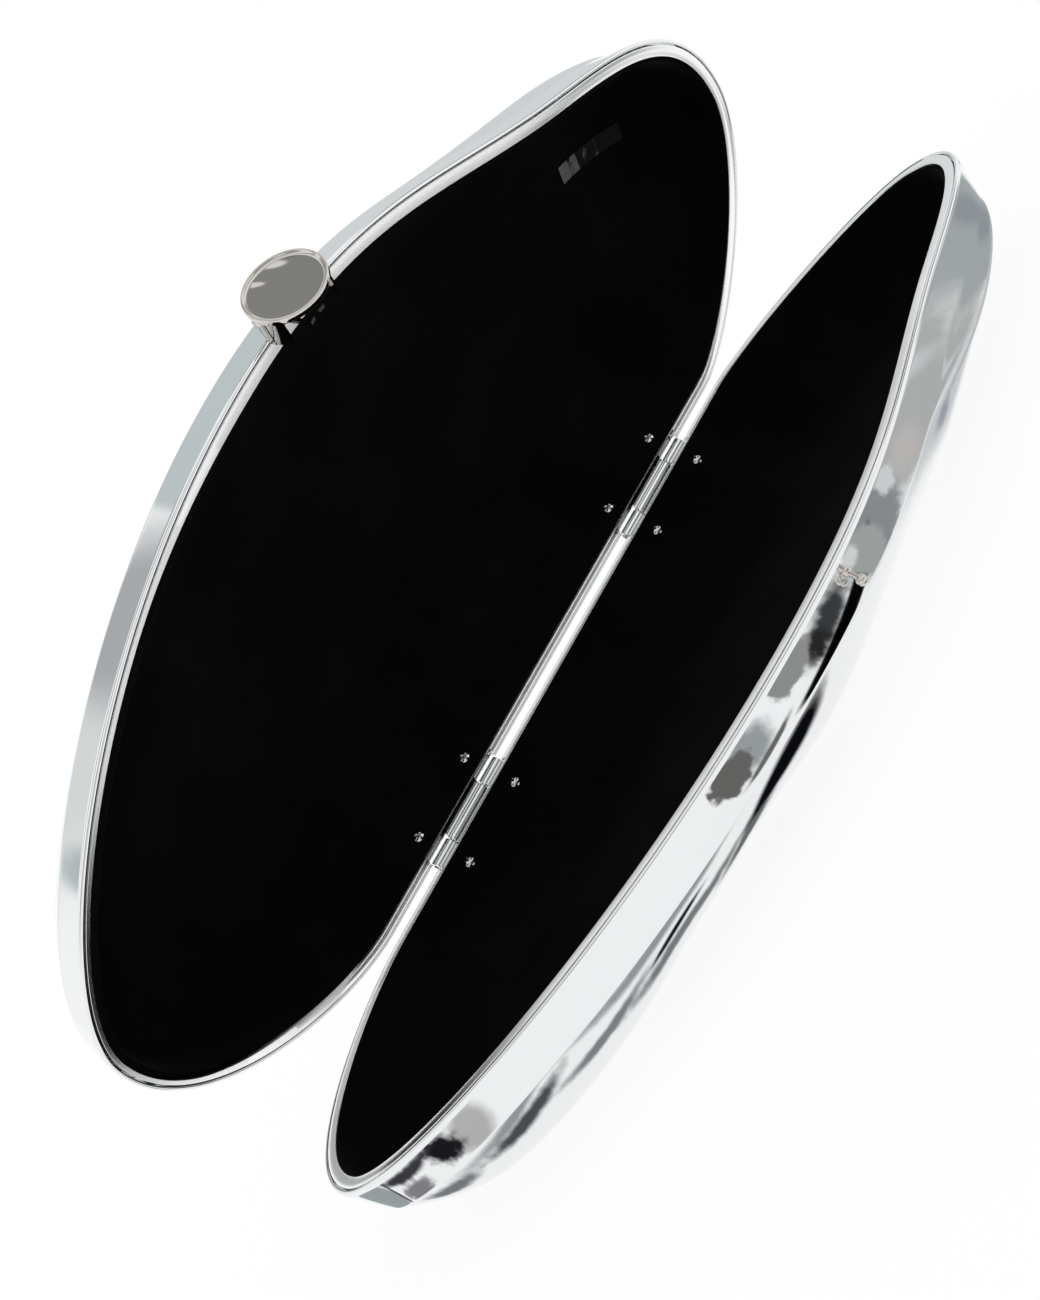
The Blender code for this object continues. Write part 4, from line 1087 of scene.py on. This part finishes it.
class Clasp:
    """The closure: dished cap, cheeks and block on the lid, and the ball stud on the base."""

    def __init__(self, finishes: Finishes) -> None:
        """Work out the clasp's and the tilted cap's frames in the lid.

        Args:
            finishes: The materials of the case.
        """
        self.finishes = finishes
        self.face_v = OUTLINE.front_v(CLASP_U) + SHELL_EDGE_W + CAP_STAND_OFF
        local = Matrix(((1, 0, 0, CLASP_U), (0, 0, 1, self.face_v), (0, 1, 0, 0), (0, 0, 0, 1)))
        self.matrix = half_matrix(Side.LID) @ local
        tilt = Matrix.Rotation(math.radians(CAP_TILT_DEG), 4, "X")
        self.cap_matrix = self.matrix @ Matrix.Translation((0, CAP_N, 0)) @ tilt

    def build(self) -> None:
        """Build the cap, the collar's cheeks, the block with its pad and the stud."""
        self.build_cap()
        self.build_cheeks()
        self.build_block()
        self.build_pad()
        self.build_stud()

    def build_cap(self) -> None:
        """Build the cap's disc, turned from its back round a soft rim into the dished face."""
        profile = [(CAP_MIDDLE, -CAP_THICKNESS)]
        profile += [(CAP_RADIUS - inset, -CAP_THICKNESS + height) for inset, height in CAP_BACK_EDGE]
        profile += [(CAP_RADIUS - inset, height) for inset, height in CAP_FRONT_EDGE]
        dish = CAP_RADIUS - CAP_DISH_INSET
        for radius in np.linspace(dish, CAP_MIDDLE, 22):
            hollow = (CAP_DISH_DEPTH - CAP_DISH_START) * (1 - (radius / dish) ** 2)
            profile.append((float(radius), -CAP_DISH_START - hollow))
        surface = Surface()
        surface.add_turned(profile, 128, Matrix())
        piece = Piece("clasp_disc", "lid", CHROME, self.finishes.clasp, surface, sharp_deg=50.0)
        piece.build(self.cap_matrix)

    def _foot(self, x: np.ndarray, y: np.ndarray, gap: float) -> np.ndarray:
        """Return the height of the clasp's foot over both bands, in the tilted cap's frame.

        Args:
            x: Places along u from the clasp's middle.
            y: Places across the cap, towards the lid.
            gap: The room left over the bands.

        Returns:
            The height at each place.
        """
        tilt = math.radians(CAP_TILT_DEG)
        edge = np.array([OUTLINE.front_v(CLASP_U + float(k)) for k in x]) - self.face_v
        n = CAP_N + y * math.cos(tilt) + CAP_STAND_OFF * math.sin(tilt)
        upright = edge + np.array([band_w(float(k)) for k in n]) + gap
        return (upright - y * math.sin(tilt)) / math.cos(tilt)

    def build_cheeks(self) -> None:
        """Build the collar's two cheeks behind the cap, either side of the ball's way in.

        Each cheek runs from the cut beside the block to the notch. The notch's sides are
        parallel, so the outer and inner arcs end at their own angles.
        """
        surface = Surface()
        top = -CAP_THICKNESS + CHEEK_OVERLAP
        count = 40
        turn = math.radians(MOUTH_NOTCH_TURN_DEG)
        for sign in (1, -1):
            arcs = []
            for radius in (COLLAR_RADIUS - COLLAR_WALL, COLLAR_RADIUS):
                cut = math.asin(COLLAR_SPLIT / radius)
                notch = math.acos(MOUTH_NOTCH_HALF_WIDTH / radius)
                start, end = (cut, turn - notch) if sign > 0 else (math.pi - cut, math.pi + notch + turn)
                angles = np.linspace(start, end, count)
                arcs.append((radius * np.cos(angles), radius * np.sin(angles)))
            (x_in, y_in), (x_out, y_out) = arcs
            foot_out = self._foot(x_out, y_out, MOUTH_GAP)
            foot_in = self._foot(x_in, y_in, MOUTH_GAP)
            rows = [
                (x_in, y_in, np.full(count, top)),
                (x_out, y_out, np.full(count, top)),
                (x_out, y_out, foot_out + CHEEK_CHAMFER),
                (x_out * CHEEK_DRAW_OUTER, y_out * CHEEK_DRAW_OUTER, foot_out),
                (x_in * CHEEK_DRAW_INNER, y_in * CHEEK_DRAW_INNER, foot_in),
                (x_in, y_in, foot_in + CHEEK_CHAMFER),
            ]
            grid = np.array([np.column_stack(row) for row in rows])
            first = surface.add_grid(grid, wrap_rows=True, wrap_cols=False)
            for col in (0, count - 1):
                surface.faces.append(tuple(first + row * count + col for row in range(len(rows))))
        # The collar's nickel is darkened with painted shade from the cap.
        collar = self.finishes.collar
        piece = Piece("clasp_cheeks", "lid", CHROME, collar, surface, ("clasp_cap",), 40.0)
        piece.build(self.cap_matrix)

    def build_block(self) -> None:
        """Build the block between the lid's band and the cap: a hollowed segment of the collar."""
        outer, inner = COLLAR_RADIUS, COLLAR_RADIUS - COLLAR_WALL
        split = COLLAR_SPLIT + COLLAR_SPLIT_GAP
        start = math.asin(split / outer)
        outside = np.linspace(start, math.pi - start, 48)
        right = np.linspace(math.asin(COLLAR_HOLLOW_END / inner), math.asin(split / inner), 10)
        left = np.linspace(math.pi - math.asin(split / inner), math.pi - right[0], 10)
        arcs = ((outer, outside), (inner, left), (inner, right))
        outline = np.array([(r * math.cos(a), r * math.sin(a)) for r, angles in arcs for a in angles])
        foot = self._foot(outline[:, 0], outline[:, 1], SEAT_GAP)
        top = np.full(len(outline), -CAP_THICKNESS - STEM_TOP_GAP)
        surface = Surface()
        surface.add_capped(np.array([np.column_stack((outline, height)) for height in (foot, top)]))
        piece = Piece("clasp_stem", "lid", CHROME, self.finishes.collar, surface, ("clasp_block",))
        piece.build(self.cap_matrix)

    def build_pad(self) -> None:
        """Build the pad that seats the block on the lid's leaning band."""
        top = OUTLINE.front_v(CLASP_U) - self.face_v + (band_w(PAD_END_N) + PAD_THICKNESS + SEAT_GAP)
        rings = []
        for x in np.linspace(-PAD_HALF_WIDTH, PAD_HALF_WIDTH, 7):
            edge = OUTLINE.front_v(CLASP_U + float(x)) - self.face_v
            low, high = (edge + band_w(n) + SEAT_GAP for n in (PAD_START_N, PAD_END_N))
            corners = [(PAD_START_N, low), (PAD_START_N, top), (PAD_END_N, top), (PAD_END_N, high)]
            rings.append([(x, n, height) for n, height in corners])
        surface = Surface()
        surface.add_capped(np.array(rings))
        Piece("clasp_pad", "lid", CHROME, self.finishes.collar, surface).build(self.matrix)

    def build_stud(self) -> None:
        """Build the ball stud with its neck and a small collar where it enters the band."""
        ball = Vector((CATCH_U, OUTLINE.front_v(CLASP_U) + BALL_STAND_OFF, BALL_N))
        tilt = math.radians(STUD_TILT_DEG)
        back = Vector((0, -math.cos(tilt), -math.sin(tilt)))
        turn = back.to_track_quat("Z", "Y").to_matrix().to_4x4()
        neck = math.asin(STUD_NECK_RADIUS / BALL_RADIUS)
        angles = np.linspace(math.pi - BALL_TIP, neck, 20)
        profile = [(BALL_RADIUS * math.sin(a), BALL_RADIUS * math.cos(a)) for a in angles]
        surface = Surface()
        surface.add_turned([*profile, *STUD_SECTION], 40, Matrix.Translation(ball) @ turn)
        piece = Piece("ball_stud", "base", CHROME, self.finishes.clasp, surface, ("catch_stud",))
        piece.build(half_matrix(Side.BASE))


@dataclass(frozen=True)
class Patch:
    """A soft oval of one tone, by its middle, its turn and its half sizes along its own axes."""

    middle: Triple
    turn_deg: Triple
    half: Triple
    tone: str
    soft: float = 0.3
    ragged: float = 0.0

    def add_to(self, bench: NodeBench, place: Socket, rough: Socket, under: Socket | tuple) -> Socket:
        """Lay this patch over a colour.

        The distance from the middle, in half sizes, is moved in and out by the rough noise, and
        the patch fades out round distance 1.

        Args:
            bench: The node bench.
            place: The coordinates.
            rough: The noise that frays the edge.
            under: The colour below.

        Returns:
            The new colour.
        """
        turn = tuple(math.radians(angle) for angle in self.turn_deg)
        away = bench.away(place, self.middle, self.half, turn)
        frayed = bench.calc("MULTIPLY_ADD", rough, 2 * self.ragged, away)
        edge = 1 + self.ragged
        share = bench.spread(frayed, (edge + self.soft, edge - self.soft), (0.0, 1.0), "SMOOTHSTEP")
        return bench.blend(share, under, linear(self.tone))


def card(
    x: float, y: float, length: float, width: float, turn: float, tone: str, *edge: float
) -> Patch:
    """Return a card on the floor.

    Args:
        x: Its middle along X in millimetres.
        y: Its middle along Y in millimetres.
        length: Half its length in millimetres.
        width: Half its width in millimetres.
        turn: Its turn about Z in degrees.
        tone: Its colour.
        *edge: How soft and how ragged its edge is.

    Returns:
        The patch.
    """
    return Patch((x * MM, y * MM, 0.0), (0.0, 0.0, turn), (length * MM, width * MM, 1.0), tone, *edge)


def sky(azimuth: float, elevation: float, wide: float, high: float, tone: str, *edge: float) -> Patch:
    """Return a patch of the tent.

    Args:
        azimuth: The direction of its middle about Z in degrees.
        elevation: The height of its middle above the horizon in degrees.
        wide: Half its width in degrees.
        high: Half its height in degrees.
        tone: Its colour.
        *edge: How soft and how ragged its edge is.

    Returns:
        The patch.
    """
    a, e = math.radians(azimuth), math.radians(elevation)
    middle = (math.cos(e) * math.cos(a), math.cos(e) * math.sin(a), math.sin(e))
    half = (0.8, math.sin(math.radians(wide)), math.sin(math.radians(high)))
    return Patch(middle, (0.0, -elevation, azimuth), half, tone, *edge)


# Share of the floor's white that is its matt paint, which keeps the case's faint shadow.
SHADOW_SHARE = 0.12

# Size of the noise that frays the patches: in metres, and in the tent's unit directions.
FLOOR_GRAIN = 2.2 * MM
TENT_GRAIN = 1 / 6

FLOOR_CARDS = (
    # Round the far end, seen in the band.
    card(108, -14, 30, 17, 45, "#a9aeb0", 0.2, 0.1),
    card(112, -10, 10, 6, 60, "#969ca0", 0.5, 0.2),
    card(56, -40, 34, 9, 26, "#b6b7b6", 0.25, 0.1),
    card(43, -43, 8, 3, 30, "#c3bfbd", 0.5, 0.3),
    card(22, -53, 15, 6, 8, "#8f9396", 0.25, 0.3),
    card(66.5, -36.5, 8, 2.4, 62, "#d3d8d9", 0.8, 0.1),
    card(34, -50, 4.5, 2.4, 20, "#d6d9da", 0.25, 0.6),
    card(148, -32, 24, 22, 0, "#8f9294", 0.2),
    # Beside the stud, seen in the band.
    card(-2.5, -57.2, 9.8, 2.6, -4, "#3c3f41", 0.5, 0.4),
    card(-8.5, -57, 3.5, 2.2, -4, "#2c2928", 0.5, 0.5),
    card(0, -53.7, 21.5, 1.35, -1, "#040404", 0.12),
    card(15, -54, 6.5, 4, 8, "#a6a9a8", 0.15, 0.2),
    card(12.2, -56.8, 3, 1.3, 0, "#dcdcda", 0.4, 0.4),
    card(-15.5, -59.2, 7.5, 2.5, -5, "#959595", 0.12, 0.4),
    # Along the front, seen in the band.
    card(-33, -56.4, 6, 3.4, -6, "#9fa4a6", 0.35, 0.3),
    card(-39, -55.4, 5.8, 3, -8, "#6b6967", 0.1, 0.45),
    card(-30.5, -53.2, 8, 0.5, -10, "#6b6967", 0.3, 0.2),
    card(-110.5, -15.4, 5.2, 5.2, -50, "#bbbbb9", 0.35, 0.15),
    card(-117, -8.8, 5.6, 3.2, -36, "#1c1c20", 0.35, 0.5),
    card(-124.2, 4, 12.5, 1.6, -74, "#3c3c40", 0.4, 0.4),
    card(-119.3, 6.8, 6, 3.2, -75, "#88858a", 0.3, 0.5),
    card(-122, 27, 12.5, 9, 90, "#a0a6a8", 0.08),
    card(-122.5, 14.6, 6.5, 0.6, 0, "#3f4143", 0.3),
    # Close to the case, seen in the face, the first three under the crease.
    card(-61, -29.6, 27, 1.1, -16.5, "#9da1a3", 0.6, 0.2),
    card(-95, -14.5, 16, 1.2, -52, "#9da1a3", 0.6, 0.2),
    card(20, -38, 26, 2, 14, "#d3d7d8", 0.6, 0.2),
    card(-93.5, -11.6, 10.5, 1.5, -46, "#505356", 0.5, 0.3),
    card(-106, 6, 8, 2.2, -66, "#7d8082", 0.5, 0.3),
    card(-55, -25.6, 17, 1.3, -14, "#7f8386", 0.5, 0.3),
    card(-58, -27.5, 7.5, 0.65, -19, "#1c1d1f", 0.4, 0.1),
    card(-76, -20.6, 11, 1, -26, "#85898b", 0.5, 0.3),
    card(-27, -33.7, 14, 2.3, -25, "#0b0d12", 0.35, 0.1),
    card(-39, -27, 7, 1.4, -14, "#6c7072", 0.6, 0.3),
    card(58, -23, 34, 5, 15, "#cfd3d5", 0.4, 0.1),
    card(47, -24.2, 4, 1.1, 8, "#a5a8ae", 0.6, 0.2),
    card(62, -21.6, 12, 1.5, 15, "#aeacb6", 0.5, 0.3),
    card(88, -14, 16, 3, 30, "#c6c9ce", 0.6, 0.3),
    # Behind the case, for the views that the photograph doesn't show.
    card(-10, 84, 118, 7, 0, "#969b9d", 0.5, 0.15),
    card(20, 112, 90, 5, 4, "#6f7476", 0.5, 0.2),
    card(136, 50, 34, 9, 110, "#a3a7a9", 0.5, 0.15),
)

TENT_PATCHES = (
    # What the bands see above and beside the case.
    sky(52, 16, 22, 24, "#d5d9da", 0.4),
    sky(64, 44, 10, 22, "#c4cccd", 0.06),
    sky(91, 50, 10, 17, "#b0b2b4", 0.25, 0.2),
    sky(101, 26, 5, 18, "#dfe2e0", 0.5),
    sky(107.5, 30, 1.6, 4, "#b9c2c2", 0.3),
    sky(78, 22, 8, 12, "#a2a4a6", 0.2),
    sky(1, 30, 14, 12, "#8c8e8e", 0.3),
    # What the clasp's cap sees.
    sky(14, 61, 15, 12, "#989c9d", 0.12),
    sky(6.6, 65.3, 1.3, 0.3, "#ffffff", 0.2),
    sky(7.6, 63.9, 0.9, 0.2, "#ffffff", 0.2),
    sky(5, 66, 2.2, 0.3, "#3a2f2a", 0.4),
    # Grey further round, for the sides that the photograph hides.
    sky(-90, 8, 60, 14, "#a9adaf", 0.5),
    sky(-150, 35, 28, 12, "#a4a8aa", 0.5),
    sky(-150, 79, 50, 6, "#8d9092", 0.5, 0.2),
    sky(170, -8, 40, 9, "#b9bfc0", 0.5),
    sky(30, -12, 30, 8, "#c4caca", 0.5),
)


class Studio:
    """The camera, floor and white surroundings of the photograph."""

    # The camera stands here, from the hinge line's middle, in metres.
    CAMERA_FROM_HINGE = Vector((-0.1640, -0.3868, 0.1196))
    CAMERA_RIGHT = Vector((0.4655, -0.4181, -0.7800))
    CAMERA_DOWN = Vector((-0.8060, 0.1638, -0.5688))
    LENS = 65.84
    FLOOR_REACH = 6.0

    def build(self) -> None:
        """Build the camera, the floor and the surroundings."""
        self.build_camera()
        self.build_floor()
        self.build_surroundings()
        bpy.context.scene.view_settings.view_transform = "Standard"

    def build_camera(self) -> None:
        """Place the camera at the photograph's viewpoint."""
        data = bpy.data.cameras.new("camera")
        data.lens = self.LENS
        data.sensor_width = 36.0
        data.clip_start = 0.01
        camera = bpy.data.objects.new("camera", data)
        bpy.context.scene.collection.objects.link(camera)
        right = self.CAMERA_RIGHT.normalized()
        up = -self.CAMERA_DOWN
        up = (up - right * up.dot(right)).normalized()
        back = right.cross(up)
        place = HINGE_POINT * MM + self.CAMERA_FROM_HINGE
        turn = Matrix((right, up, back)).transposed().to_4x4()
        camera.matrix_world = Matrix.Translation(place) @ turn
        bpy.context.scene.camera = camera

    def build_floor(self) -> None:
        """Lay a plain white floor, with grey cards beside the case that only the metal shows."""
        mesh = bpy.data.meshes.new("floor")
        r = self.FLOOR_REACH
        mesh.from_pydata([(-r, -r, 0), (r, -r, 0), (r, r, 0), (-r, r, 0)], [], [(0, 1, 2, 3)])
        floor = bpy.data.objects.new("floor", mesh)
        bpy.context.scene.collection.objects.link(floor)
        material, bench, place = new_material("white_floor")
        colour, seen = self._shown(bench, self._stack(bench, place, FLOOR_CARDS, FLOOR_GRAIN))
        white = bench.add("ShaderNodeEmission", {"Color": colour, "Strength": 1.0}).outputs["Emission"]
        matt = bench.add("ShaderNodeBsdfDiffuse", {"Color": colour}).outputs["BSDF"]
        share = bench.calc("MULTIPLY", seen, 1.0 - SHADOW_SHARE)
        mix = bench.add("ShaderNodeMixShader", {0: share, 1: matt, 2: white}).outputs["Shader"]
        bench.add("ShaderNodeOutputMaterial", {"Surface": mix})
        mesh.materials.append(material)

    def build_surroundings(self) -> None:
        """Make the white tent: even light, with soft grey patches that only the metal shows."""
        world = bpy.data.worlds.new("white_tent")
        world.use_nodes = True
        bpy.context.scene.world = world
        bench = NodeBench(world.node_tree)
        toward = bench.add("ShaderNodeTexCoord").outputs["Generated"]
        colour, _ = self._shown(bench, self._stack(bench, toward, TENT_PATCHES, TENT_GRAIN))
        light = bench.add("ShaderNodeBackground", {"Color": colour, "Strength": 1.0})
        bench.add("ShaderNodeOutputWorld", {"Surface": light.outputs["Background"]})

    @staticmethod
    def _stack(bench: NodeBench, place: Socket, patches: tuple[Patch, ...], grain: float) -> Socket:
        """Lay patches over white, each over the ones before.

        Args:
            bench: The node bench.
            place: The coordinates.
            patches: The patches, the lowest first.
            grain: The size of the noise that frays their edges.

        Returns:
            The colour.
        """
        rough = bench.noise(place, grain, 3.0)
        colour = WHITE
        for patch in patches:
            colour = patch.add_to(bench, place, rough, colour)
        return colour

    @staticmethod
    def _shown(bench: NodeBench, colour: Socket) -> tuple[Socket, Socket]:
        """Work out what each ray sees: plain white for the camera, the patches for metal and glass.

        Args:
            bench: The node bench.
            colour: The colour that glossy and transmitted rays see.

        Returns:
            The colour, and a socket that is 1 for camera, glossy and transmitted rays.
        """
        ray = bench.add("ShaderNodeLightPath").outputs
        through = bench.calc("MAXIMUM", ray["Is Glossy Ray"], ray["Is Transmission Ray"])
        seen = bench.calc("MAXIMUM", through, ray["Is Camera Ray"])
        return bench.blend(through, WHITE, colour), seen


def main() -> None:
    """Build the looks round the CAD frame."""
    logging.basicConfig(level=logging.INFO, format="%(name)s %(message)s")
    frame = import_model()
    finishes = Finishes()
    for side in Side:
        Half(side, finishes).build()
    Clasp(finishes).build()
    for node, obj in frame["nodes"].items():
        if not obj.hide_render:
            obj.data.materials.clear()
            obj.data.materials.append(finishes.for_node(node))
            LOG.info("%s: shown as its solid", node)
    Studio().build()


if __name__ == "__main__":
    main()
